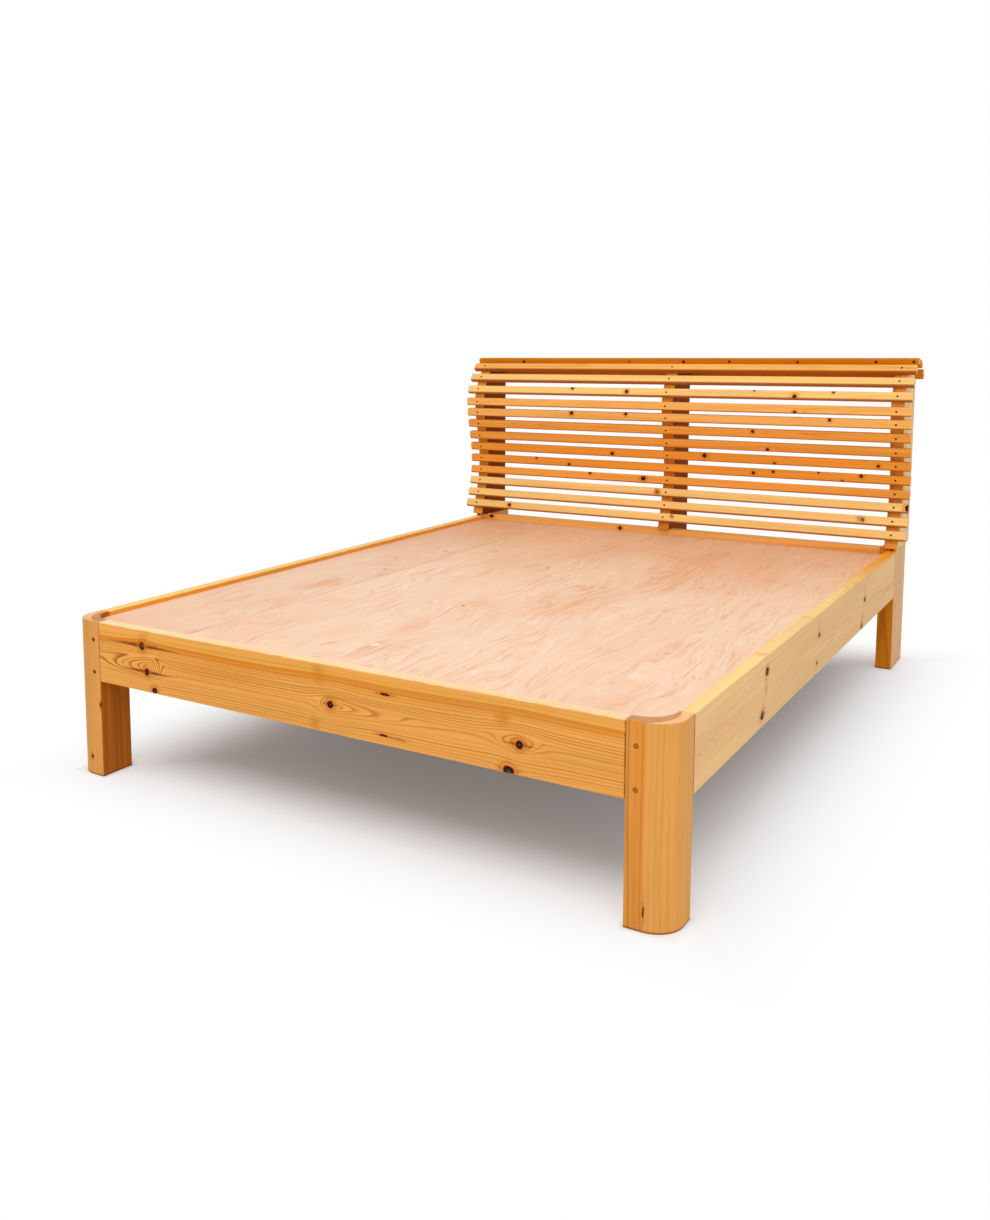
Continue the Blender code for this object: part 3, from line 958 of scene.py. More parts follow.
    def light_and_wear_arrises(self, colour: Field) -> Field:
        """Pale the arrises of a square board, and on a lying board only the upper ones: partly
        wear, partly a painted highlight where they catch the light.

        Args:
            colour: The wood's colour.

        Returns:
            The colour with its paled arrises.
        """
        graph, finish = self.graph, self.finish
        inner = graph.vector("SUBTRACT", self.half, graph.vector("ABSOLUTE", self.place))
        _, depth, across = inner.parts()
        edge = graph.math("MAXIMUM", depth, across)
        rubbed = graph.noise(self.place, finish.rubbing, self.seed)
        worn_and_lit = edge.spread(*finish.worn_and_lit) * rubbed.spread(*finish.worn_and_lit_by_rubbing)
        if self.board.grain is not Grain.UPRIGHT:
            worn_and_lit = worn_and_lit * self.across.spread(*finish.worn_and_lit_upwards)
        return graph.mix(worn_and_lit, colour, self.board.tones.top_light_and_wear)


@dataclass(frozen=True)
class Spot:
    """A mark in the plywood's face.

    Attributes:
        across: Its place across the bed.
        along: Its place along the bed.
        radius: Half its width.
        stretch: Its length as a share of its width.
        swirl: How far the grain bends round it, 0 to 1.
    """

    across: float
    along: float
    radius: float
    stretch: float
    swirl: float

    def near(self, graph: Graph, place: Field, wide: float, long: float) -> Field:
        """Measure a place on the deck from the spot.

        Args:
            graph: The deck's nodes.
            place: The place on the deck.
            wide: How many radii count as one across the bed.
            long: How many radii count as one along the bed.

        Returns:
            The way from the spot to the place.
        """
        scale = (1 / (self.radius * wide), 1 / (self.radius * long), 0.0)
        return graph.near(place, (self.across, self.along, 0.0), scale)


@dataclass(frozen=True)
class Plywood:
    """Rotary-cut plywood: a pale pinkish face with loops, short strokes and soft patches.

    Attributes:
        waves: The waves of the loops: their patterns and reach.
        bend: How far a mark bends the grain: across, along and at its middle, in radii.
    """

    face: Colour = paint(250, 214, 184)
    band: Colour = paint(246, 202, 166)
    stroke: Colour = paint(224, 156, 110)
    patch: Colour = paint(236, 168, 120)
    fleck: Colour = paint(198, 130, 92)
    head_shade_tint: Colour = paint(244, 226, 204)
    mark: Colour = paint(178, 98, 58)
    pale: Colour = paint(255, 236, 216)
    ply_dark: Colour = paint(206, 150, 104)
    ply: float = 0.0036
    shine: float = 0.15
    seam_at: float = -0.4545
    loops: float = 34.0
    waves: tuple[tuple[Pattern, float], ...] = (
        (Pattern((5.0, 1.3, 1.0), 2, 3.0), 0.24),
        (Pattern((16.0, 4.2, 1.0), 4), 0.05),
        (Pattern((38.0, 13.0, 1.0), 5), 0.012),
    )
    ripples: Pattern = Pattern((26.0, 9.0, 26.0))
    ripple_reach: Scales = (0.05, 0.06, 0.0)
    strokes: Pattern = Pattern((200.0, 10.0, 1.0), 6, rough=0.6)
    brushes: Pattern = Pattern((60.0, 3.4, 1.0), 8)
    clouds: Pattern = Pattern((2.6, 1.6, 1.0), 10, 3.0)
    lively: Pattern = Pattern((8.0, 3.6, 1.0), 12)
    flecks: Pattern = Pattern((150.0, 30.0, 1.0), 14, 1.0)
    band_start: Range = (0.05, 0.75, 0.0, 0.35)
    band_stop: Range = (0.8, 1.0, 1.0, 0.0)
    lively_share: Range = (0.36, 0.62, 0.3, 1.0)
    lively_patch: float = 1.3
    brush_share: Range = (0.48, 0.74, 0.0, 0.35)
    stroke_share: Range = (0.53, 0.70, 0.0, 0.5)
    pale_share: Range = (0.46, 0.26, 0.0, 0.5)
    cloud_share: Range = (0.44, 0.72, 0.0, 0.3)
    patch_reach: Range = (0.1, 1.3)
    patch_share: Range = (0.0, 1.0, 0.55, 0.0)
    patch_by_brush: Range = (0.3, 0.7, 0.35, 1.0)
    fleck_share: Range = (0.74, 0.82, 0.0, 0.5)
    seam_share: Range = (0.0005, 0.002, 0.7, 0.0)
    seam_along: Range = (-0.6, 0.1, 0.1, 1.0)
    head_shade_along: Range = (-0.3, 1.0)
    pale_mark_share: Range = (0.6, 1.1, 0.9, 0.0)
    mark_share: Range = (0.5, 1.2, 0.8, 0.0)
    edge_facing: Range = (0.3, 0.7, 1.0, 0.0)
    glue_share: Range = (0.35, 0.65)
    rough: Range = (0.2, 0.8, 0.5, 0.66)
    bend: tuple[float, float, float] = (5, 9, 4)
    patches: tuple[Spot, ...] = (
        Spot(-0.020, -0.42, 0.06, 1.8, 0.5),
        Spot(-0.50, -0.67, 0.06, 2.0, 0.4),
        Spot(-0.54, -0.43, 0.05, 2.4, 0.4),
        Spot(-0.616, -0.707, 0.04, 2.0, 0.4),
        Spot(0.000, -0.95, 0.035, 4.0, 0.5),
        Spot(-0.028, -0.74, 0.030, 4.0, 0.5),
        Spot(0.190, -0.24, 0.13, 2.4, 0.2),
        Spot(0.32, 0.20, 0.14, 2.4, 0.2),
        Spot(0.29, 0.59, 0.05, 3.0, 0.2),
    )
    marks: tuple[Spot, ...] = (
        Spot(-0.046, -0.449, 0.006, 1.6, 0.9),
        Spot(-0.51, 0.226, 0.006, 1.8, 0.8),
        Spot(-0.506, -0.144, 0.006, 1.8, 0.8),
        Spot(-0.002, -1.084, 0.008, 1.2, 0.5),
    )
    pale_marks: tuple[Spot, ...] = (
        Spot(-0.131, -0.444, 0.010, 1.4, 0.6),
        Spot(-0.006, -0.898, 0.012, 1.3, 0.6),
    )

    def nearest(self, graph: Graph, place: Field, spots: Sequence[Spot]) -> Field:
        """Give the distance to the nearest of some spots.

        Args:
            graph: The deck's nodes.
            place: The place on the deck.
            spots: The spots.

        Returns:
            The distance, in the spot's own radii.
        """
        nearest: Feed = FAR
        for spot in spots:
            away = graph.vector("LENGTH", spot.near(graph, place, 1.0, spot.stretch))
            nearest = graph.math("MINIMUM", away, nearest)
        return nearest

    def peel(self, graph: Graph, place: Field, seed: float) -> Field:
        """Find which of the log's rings the knife peeled at a place.

        Args:
            graph: The deck's nodes.
            place: The place on the deck.
            seed: The sheet's own shift.

        Returns:
            The place across the bed as the grain sees it.
        """
        contour = place.parts()[0]
        for wave, reach in self.waves:
            contour = graph.noise(place, wave, seed) * reach + contour
        wide, long, rise = self.bend
        for spot in self.marks + self.pale_marks:
            near = spot.near(graph, place, wide, long)
            fall = graph.vector("DOT_PRODUCT", near, near) + 1.0
            contour = spot.radius * rise * spot.swirl / fall + contour
        return contour

    def dress(self, node: str, seed: float) -> bpy.types.Material:
        """Make the material of one sheet.

        Args:
            node: The sheet's CAD node.
            seed: The sheet's own shift.

        Returns:
            The sheet's material.
        """
        graph = Graph.named(f"plywood_{node}")
        place = graph.place()
        across, along, height = place.parts()
        ripple = graph.ripple(place, self.ripples, seed)
        wavy = graph.vector("MULTIPLY_ADD", ripple, self.ripple_reach, place)
        contour = self.peel(graph, place, seed)
        grained = graph.node("ShaderNodeCombineXYZ", contour, along, height).outputs[0]
        grained = Field(graph, grained)
        stroke = graph.noise(grained, self.strokes, seed)
        brush = graph.noise(grained, self.brushes, seed)
        fleck = graph.noise(grained, self.flecks, seed)
        cloud = graph.noise(place, self.clouds, seed)
        loop = (contour * self.loops).rest()
        patch = self.nearest(graph, wavy, self.patches).spread(*self.patch_reach)
        lively = graph.noise(place, self.lively, seed).spread(*self.lively_share)
        lively = graph.math("MAXIMUM", lively, self.lively_patch - patch)
        patched = patch.spread(*self.patch_share) * brush.spread(*self.patch_by_brush)
        seam = abs(across - self.seam_at).spread(*self.seam_share)
        colour = graph.layers(
            self.face,
            (loop.spread(*self.band_start) * loop.spread(*self.band_stop), self.band),
            (lively * brush.spread(*self.brush_share), self.stroke),
            (lively * stroke.spread(*self.stroke_share), self.stroke),
            (stroke.spread(*self.pale_share), self.pale),
            (cloud.spread(*self.cloud_share), self.patch),
            (patched, self.patch),
            (fleck.spread(*self.fleck_share), self.fleck),
            (seam * along.spread(*self.seam_along), self.fleck),
        )
        # Darker towards the head: partly the sheet's own tone, partly painted shade where the
        # light falls off.
        colour = graph.mix(along.spread(*self.head_shade_along), colour, self.head_shade_tint, "MULTIPLY")
        pale_mark = self.nearest(graph, wavy, self.pale_marks)
        mark = self.nearest(graph, place, self.marks)
        edge = abs(graph.normal().parts()[2]).spread(*self.edge_facing)
        glue = (height / self.ply).rest().spread(*self.glue_share)
        colour = graph.layers(
            colour,
            (pale_mark.spread(*self.pale_mark_share), self.pale),
            (mark.spread(*self.mark_share), self.mark),
            (edge * glue, self.ply_dark),
        )
        return graph.finish(colour, stroke.spread(*self.rough), stroke, FINE_RELIEF, self.shine)


@dataclass(frozen=True)
class Steel:
    """A small steel fastener: its metal, and the dark film that oil and air leave on it."""

    name: str
    metal: Colour
    film: Colour
    metallic: float
    rough_low: float
    rough_high: float
    shine: float = 0.5
    cloudy: Pattern = Pattern((420.0, 420.0, 420.0), 3, 3.0)
    scratches: Pattern = Pattern((1500.0, 240.0, 900.0), 8)
    film_share: Range = (0.35, 0.7)
    film_rough: tuple[float, float] = (0.3, 0.75)

    def dress(self) -> bpy.types.Material:
        """Make the fasteners' material.

        Returns:
            The material.
        """
        graph = Graph.named(self.name)
        place = graph.place()
        film = graph.noise(place, self.cloudy)
        scratch = graph.noise(place, self.scratches)
        colour = graph.mix(film.spread(*self.film_share), self.metal, self.film)
        rough = film.spread(*self.film_rough, self.rough_low, self.rough_high)
        graph.tree.nodes["Principled BSDF"].inputs["Metallic"].default_value = self.metallic
        return graph.finish(colour, rough, scratch, FINE_RELIEF, self.shine)


@dataclass(frozen=True)
class PegPine:
    """The end of a pine peg in a leg: fine end grain, with a dark ring at the glue line."""

    wood: Colour = paint(186, 106, 38)
    ring: Colour = paint(146, 76, 22)
    seam: Colour = paint(70, 30, 8)
    reach: float = 0.719
    mid_height: float = 0.3115
    half_step: float = 0.0415
    radius: float = 0.005
    glue_from: float = 0.72
    glue_share: float = 0.9
    left_stain: float = 0.75
    stain_along: tuple[float, float] = (-0.5, 0.5)
    years_across: float = 420.0
    years_up: float = 160.0
    year_share: Range = (0.4, 0.95, 0.0, 0.7)
    flecks: Pattern = Pattern((700.0, 40.0, 700.0), 5)
    level_by_fleck: Range = (0.2, 0.8, 0.86, 1.1)
    rough: Range = (0.2, 0.8, 0.45, 0.65)
    shine: float = 0.1

    def dress(self) -> bpy.types.Material:
        """Make the pegs' material.

        Returns:
            The material.
        """
        graph = Graph.named("pine_pegs")
        place = graph.place()
        across, _, height = place.parts()
        side = abs(across) - self.reach
        rise = abs(height - self.mid_height) - self.half_step
        away = (side * side + rise * rise).root()
        fleck = graph.noise(place, self.flecks)
        years = (side * self.years_across + rise * self.years_up).rest()
        colour = graph.mix(years.spread(*self.year_share), self.wood, self.ring)
        glue = away.spread(self.radius * self.glue_from, self.radius, 0.0, self.glue_share)
        colour = graph.layers(
            graph.shade(colour, fleck.spread(*self.level_by_fleck)),
            (across.spread(*self.stain_along, self.left_stain, 0.0), self.seam),
            (glue, self.seam),
        )
        return graph.finish(colour, fleck.spread(*self.rough), fleck, FINE_RELIEF, self.shine)


PINE = Pine()
NAIL_STEEL = Steel("nail_steel", paint(82, 44, 20), paint(44, 22, 10), 0.2, 0.6, 0.8, 0.08)
BOLT_STEEL = Steel("bolt_steel", paint(176, 176, 172), paint(120, 118, 112), 1.0, 0.28, 0.5)
SCREW_STEEL = Steel("screw_steel", paint(196, 178, 128), paint(148, 128, 84), 1.0, 0.25, 0.45)


class Bench:
    """The modelling moves that the sub-assemblies share."""

    round_angle = math.radians(40.0)
    weld = 0.00001
    flat_angle = math.radians(0.2)
    head_sunk = 0.001
    top_face = 0.9

    @staticmethod
    def clear_choice() -> None:
        """Leave nothing selected."""
        bpy.ops.object.select_all(action="DESELECT")

    @staticmethod
    def take(*pieces: bpy.types.Object) -> None:
        """Select some pieces alone and make the first the active one.

        Args:
            pieces: The pieces.
        """
        Bench.clear_choice()
        for piece in pieces:
            piece.select_set(True)
        bpy.context.view_layer.objects.active = pieces[0]

    @staticmethod
    def copy(source: bpy.types.Object, name: str) -> bpy.types.Object:
        """Copy a piece with its own mesh.

        Args:
            source: The piece.
            name: The copy's name.

        Returns:
            The copy.
        """
        piece = bpy.data.objects.new(name, source.data.copy())
        bpy.context.scene.collection.objects.link(piece)
        return piece

    @staticmethod
    def coat(piece: bpy.types.Object, material: bpy.types.Material) -> bpy.types.Object:
        """Give a piece one material.

        Args:
            piece: The piece.
            material: Its material.

        Returns:
            The same piece.
        """
        piece.data.materials.clear()
        piece.data.materials.append(material)
        return piece

    @staticmethod
    def rounded(board: Board, slot: str) -> bpy.types.Object:
        """Copy a timber with its curves shaded round, to stand for it, and dress it.

        Args:
            board: The timber.
            slot: Not used.

        Returns:
            The copy, riding on the bed.
        """
        piece = Bench.copy(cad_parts[board.node], f"{board.node}_timber")
        Bench.take(piece)
        bpy.ops.object.mode_set(mode="EDIT")
        bpy.ops.mesh.select_all(action="SELECT")
        bpy.ops.mesh.remove_doubles(threshold=Bench.weld)
        bpy.ops.mesh.dissolve_limited(angle_limit=Bench.flat_angle)
        bpy.ops.object.mode_set(mode="OBJECT")
        bpy.ops.mesh.customdata_custom_splitnormals_clear()
        bpy.ops.object.shade_smooth_by_angle(angle=Bench.round_angle)
        weigh = piece.modifiers.new("weigh", "WEIGHTED_NORMAL")
        weigh.keep_sharp = True
        bpy.ops.object.modifier_apply(modifier=weigh.name)
        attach(piece, BODY)
        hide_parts(board.node)
        return Bench.coat(piece, PINE.dress(board, top_light_and_arris_wear=False))

    @staticmethod
    def start_head(radius: float, sides: int) -> bpy.types.Object:
        """Start a fastener's head in edit mode, with its top chosen and level with the origin.

        Args:
            radius: The head's radius.
            sides: How many sides it has.

        Returns:
            The head.
        """
        Bench.clear_choice()
        bpy.ops.mesh.primitive_cylinder_add(vertices=sides, radius=radius,
                                            depth=2 * Bench.head_sunk)
        head = bpy.context.active_object
        bpy.ops.object.mode_set(mode="EDIT")
        mesh = bmesh.from_edit_mesh(head.data)
        for face in mesh.faces:
            face.select_set(face.normal.z > Bench.top_face)
        mesh.select_flush_mode()
        bmesh.update_edit_mesh(head.data)
        Bench.lift(-Bench.head_sunk)
        return head

    @staticmethod
    def lift(height: float) -> None:
        """Move what is chosen upwards."""
        bpy.ops.transform.translate(value=(0.0, 0.0, height))

    @staticmethod
    def end_head(angle: float) -> None:
        """Leave edit mode, and shade round what turns by less than an angle in degrees."""
        bpy.ops.object.mode_set(mode="OBJECT")
        bpy.ops.object.shade_smooth_by_angle(angle=math.radians(angle))

    @staticmethod
    def scatter(pattern: bpy.types.Object, rows: dict[str, list[Matrix]],
                steel: Steel) -> list[bpy.types.Object]:
        """Copy a fastener's head to many places, as one piece for each row.

        Args:
            pattern: The head. It is taken away at the end.
            rows: The rows' names and places.
            steel: What the fasteners are made of.

        Returns:
            The rows, riding on the bed.
        """
        material = steel.dress()
        groups = []
        for name, places in rows.items():
            copies = [Bench.copy(pattern, name) for _ in places]
            for copy, place in zip(copies, places):
                copy.data.transform(place)
            Bench.take(*copies)
            bpy.ops.object.join()
            group = bpy.context.active_object
            group.name = name
            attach(group, BODY)
            groups.append(Bench.coat(group, material))
        bpy.data.objects.remove(pattern)
        return groups


@dataclass
class BedFrame:
    """The legs, rails and pegs."""

    foot_rail: Board = Board(
        "foot_rail", Grain.CROSSWISE, HONEY,
        Log(-0.15, 0.02, 0.005, 0.0, ring=0.0066, heart=0.1996, wander=0.005, lines=1.0,
            fade=0.4),
        knots=(
            Knot(-0.547, 0.037, 0.0095, 0.85, 0.6, 22.0),
            Knot(-0.533, -0.026, 0.008, 0.85, 0.4, 20.0),
            Knot(-0.508, -0.069, 0.007, 1.0, 0.6),
            Knot(0.023, -0.012, 0.0075, 1.0, 0.95, 4.0),
            Knot(0.165, 0.034, 0.0025, 4.4, 0.4, 3.6),
            Knot(0.161, -0.055, 0.0022, 4.4, 0.4, 4.4),
            Knot(0.481, -0.014, 0.008, 0.95, 0.9, 7.0),
            Knot(0.457, -0.071, 0.009, 1.2, 0.8),
        ),
        eyes=(
            Eye(-0.521, -0.012, 0.042, 0.030, 0.040, 3.8, 0.03, 0.8),
            Eye(0.022, -0.014, 0.22, 0.020, 0.022, 0.16),
            Eye(0.476, -0.010, 0.055, 0.019, 0.013),
        ),
        stains=(
            Stain(-0.540, 0.060, 0.020, 0.030, paint(212, 134, 42, 0.45)),
            Stain(-0.008, 0.054, 0.022, 0.036, paint(212, 128, 36, 0.6)),
            Stain(-0.020, -0.063, 0.018, 0.022, paint(202, 122, 40, 0.5)),
            Stain(-0.30, 0.006, 0.22, 0.030, paint(220, 140, 44, 0.5)),
            Stain(0.444, 0.032, 0.024, 0.020, paint(206, 118, 24, 0.6)),
            Stain(0.200, -0.057, 0.030, 0.006, paint(178, 92, 20, 0.6)),
            Stain(-0.699, 0.0, 0.003, 0.3, paint(110, 56, 14, 0.7)),
            Stain(0.699, 0.0, 0.003, 0.3, paint(110, 56, 14, 0.8)),
        ),
    )
    head_rail: Board = Board(
        "head_rail", Grain.CROSSWISE, AMBER,
        knots=(Knot(-0.726, 0.069, 0.007, 1.1), Knot(-0.175, 0.064, 0.006, 1.1)),
    )
    side_rail_right: Board = Board(
        "side_rail_right", Grain.LENGTHWISE, CREAM,
        Log(-0.02, 0.045, -0.006, 0.012, ring=0.0050, heart=0.058, wander=0.008, lines=0.5),
        knots=(
            Knot(-0.558, 0.041, 0.009, 1.2, 0.8, 2.5),
            Knot(-0.587, -0.051, 0.009, 1.3, 0.8, 2.5),
            Knot(-0.086, 0.020, 0.005, 1.8, 0.7),
            Knot(-0.103, -0.050, 0.0045, 1.6, 0.7),
            Knot(0.466, 0.007, 0.007, 1.6, 0.8),
            Knot(0.435, -0.067, 0.0075, 1.4, 0.8),
        ),
        eyes=(Eye(-1.08, -0.012, 0.32, 0.034, 0.036),),
        stains=(
            Stain(-0.562, 0.008, 0.014, 0.034, paint(196, 128, 70, 0.4)),
            Stain(-0.580, -0.034, 0.014, 0.022, paint(196, 128, 70, 0.35)),
            Stain(-0.091, 0.044, 0.016, 0.026, paint(200, 138, 82, 0.3)),
            Stain(0.440, -0.046, 0.020, 0.028, paint(186, 120, 66, 0.4)),
            Stain(0.464, 0.034, 0.018, 0.026, paint(200, 138, 82, 0.3)),
            Stain(-1.034, 0.0, 0.004, 0.3, paint(120, 66, 24, 0.8)),
            Stain(0.935, 0.0, 0.006, 0.3, paint(120, 66, 24, 0.6)),
        ),
        edge_stains=(
            Stain(-0.559, 0.079, 0.018, 0.006, paint(226, 152, 66, 0.4)),
            Stain(-0.159, 0.079, 0.020, 0.005, paint(230, 156, 64, 0.3)),
            Stain(0.92, 0.079, 0.70, 0.010, paint(246, 160, 34, 1.0)),
        ),
        halo=0.5,
    )
    side_rail_left: Board = Board(
        "side_rail_left", Grain.LENGTHWISE, GOLD,
        knots=(Knot(-0.31, 0.02, 0.009, 1.3), Knot(0.42, -0.03, 0.008, 1.3),
               Knot(-0.75, -0.05, 0.007, 1.3)),
    )
    foot_leg_right: Board = Board(
        "foot_leg_right", Grain.UPRIGHT, LEG,
        Log(-0.057, 0.022, ring=0.0046, heart=0.0858, wander=0.006, lines=0.9),
        knots=(Knot(0.040, -0.009, 0.0014, 7.0, 0.3, 1.6),),
        # Painted shade along the foot of the leg.
        lower_shade=0.8,
    )
    foot_leg_left: Board = Board(
        "foot_leg_left", Grain.UPRIGHT, LEG,
        Log(0.045, 0.03, ring=0.0044, heart=0.074, wander=0.004, lines=0.9),
        knots=(Knot(0.047, 0.009, 0.004, 1.2, 0.7),
               Knot(0.186, 0.046, 0.003, 2.6, 0.4, depth=-0.046)),
        # Painted shade on the inner face, which looks to the right.
        right_face_lighting=paint(180, 94, 10, 0.85),
        # Painted shade along the foot of the leg.
        lower_shade=0.8,
    )
    head_leg_right: Board = Board(
        "head_leg_right", Grain.UPRIGHT, CHESTNUT_SHADE,
        Log(-0.01, 0.12, ring=0.0050, heart=0.16, wander=0.006, lines=0.9),
        # Painted light on the outer face, which looks to the right.
        right_face_lighting=paint(236, 188, 134, 0.85),
        # Painted shade along the foot of the leg.
        lower_shade=0.8,
    )
    head_leg_left: Board = Board(
        "head_leg_left", Grain.UPRIGHT, LEG,
        edge_stains=(Stain(0.410, 0.0, 0.006, 1.0, paint(108, 50, 8, 0.95)),),
    )
    pegs: tuple[str, ...] = tuple(
        f"foot_peg_{side}_{level}" for side in ("left", "right") for level in ("upper", "lower")
    )

    def build(self) -> list[bpy.types.Object]:
        """Make the rounded foot legs, and dress the frame.

        Returns:
            The pieces that show.
        """
        pieces = [Bench.rounded(leg, "leg_pine")
                  for leg in (self.foot_leg_left, self.foot_leg_right)]
        for board in (self.head_leg_left, self.head_leg_right, self.foot_rail, self.head_rail,
                      self.side_rail_left, self.side_rail_right):
            pieces.append(Bench.coat(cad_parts[board.node], PINE.dress(board)))
        peg_wood = PegPine().dress()
        return pieces + [Bench.coat(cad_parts[peg], peg_wood) for peg in self.pegs]


@dataclass
class Deck:
    """The two sheets of plywood that the mattress lies on."""

    sheets: tuple[tuple[str, float, Plywood], ...] = (
        ("deck_sheet_wide", 4.0, Plywood()),
        ("deck_sheet_narrow", 4.6,
         Plywood(face=paint(244, 205, 174), pale=paint(253, 229, 207))),
    )

    def dress(self) -> list[bpy.types.Object]:
        """Dress both sheets, and hand them back."""
        return [Bench.coat(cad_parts[node], finish.dress(node, seed))
                for node, seed, finish in self.sheets]


@dataclass
class Support:
    """The ledgers, cleats, bearers and beam under the deck."""

    bearers: int = 7

    def dress(self) -> list[bpy.types.Object]:
        """Dress the timbers under the deck.

        Returns:
            The timbers.
        """
        ends = ("foot", "head")
        bearers = [f"deck_bearer_{index:02d}" for index in range(1, self.bearers + 1)]
        groups = (
            ([f"side_ledger_{side}" for side in ("left", "right")], Grain.LENGTHWISE, CREAM),
            ([f"{end}_cleat" for end in ends] + bearers, Grain.CROSSWISE, CREAM),
            (["centre_beam"], Grain.LENGTHWISE, HONEY),
            ([f"beam_cradle_{end}" for end in ends], Grain.CROSSWISE, HONEY),
        )
        return [Bench.coat(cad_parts[node], PINE.dress(Board(node, grain, tones)))
                for nodes, grain, tones in groups for node in nodes]


SLAT_KNOTS: dict[int, tuple[Knot, ...]] = {
    1: (Knot(-0.633, 0.0005, 0.006),),
    3: (Knot(0.826, 0.0005, 0.010, 0.8),),
    4: (Knot(-0.305, 0.010, 0.0045), Knot(-0.091, 0.002, 0.007, 1.2)),
    5: (
        Knot(-0.535, 0.011, 0.0035), Knot(-0.394, -0.006, 0.0045), Knot(0.315, 0.0, 0.005),
        Knot(0.384, 0.0075, 0.0045), Knot(0.536, 0.0145, 0.0035), Knot(0.675, 0.009, 0.005),
        Knot(0.615, -0.011, 0.0035),
    ),
    6: (
        Knot(-0.215, -0.002, 0.006), Knot(0.14, 0.007, 0.007), Knot(0.388, -0.011, 0.005),
        Knot(0.728, -0.001, 0.0045),
    ),
    7: (Knot(0.365, -0.007, 0.005),),
    8: (Knot(0.316, 0.008, 0.005),),
    9: (Knot(-0.37, 0.0085, 0.006), Knot(-0.152, 0.0105, 0.005), Knot(0.574, 0.0105, 0.0045)),
    10: (Knot(0.459, -0.0105, 0.005),),
    11: (
        Knot(-0.372, 0.009, 0.0045), Knot(-0.152, -0.0005, 0.006), Knot(0.455, -0.007, 0.006),
        Knot(0.581, 0.010, 0.0035), Knot(0.317, 0.0135, 0.0035),
    ),
    14: (
        Knot(-0.624, -0.015, 0.005, depth=0.003), Knot(-0.18, -0.015, 0.003, depth=0.002),
        Knot(0.03, -0.015, 0.005, depth=0.002), Knot(0.20, -0.015, 0.004, depth=0.0),
        Knot(0.438, -0.015, 0.004, depth=0.002), Knot(0.695, -0.015, 0.004, depth=0.001),
        Knot(0.812, -0.015, 0.004, depth=0.0),
    ),
}

SLAT_STAINS: dict[int, tuple[Stain, ...]] = {
    1: (Stain(0.034, 0.005, 0.012, 0.010, paint(176, 84, 24, 0.9)),),
    2: (
        Stain(0.684, 0.002, 0.020, 0.015, paint(190, 104, 50, 0.8)),
        Stain(0.690, 0.000, 0.007, 0.010, paint(104, 48, 20, 0.9)),
    ),
    3: (Stain(-0.033, 0.001, 0.018, 0.016, paint(170, 72, 18, 0.95)),),
}


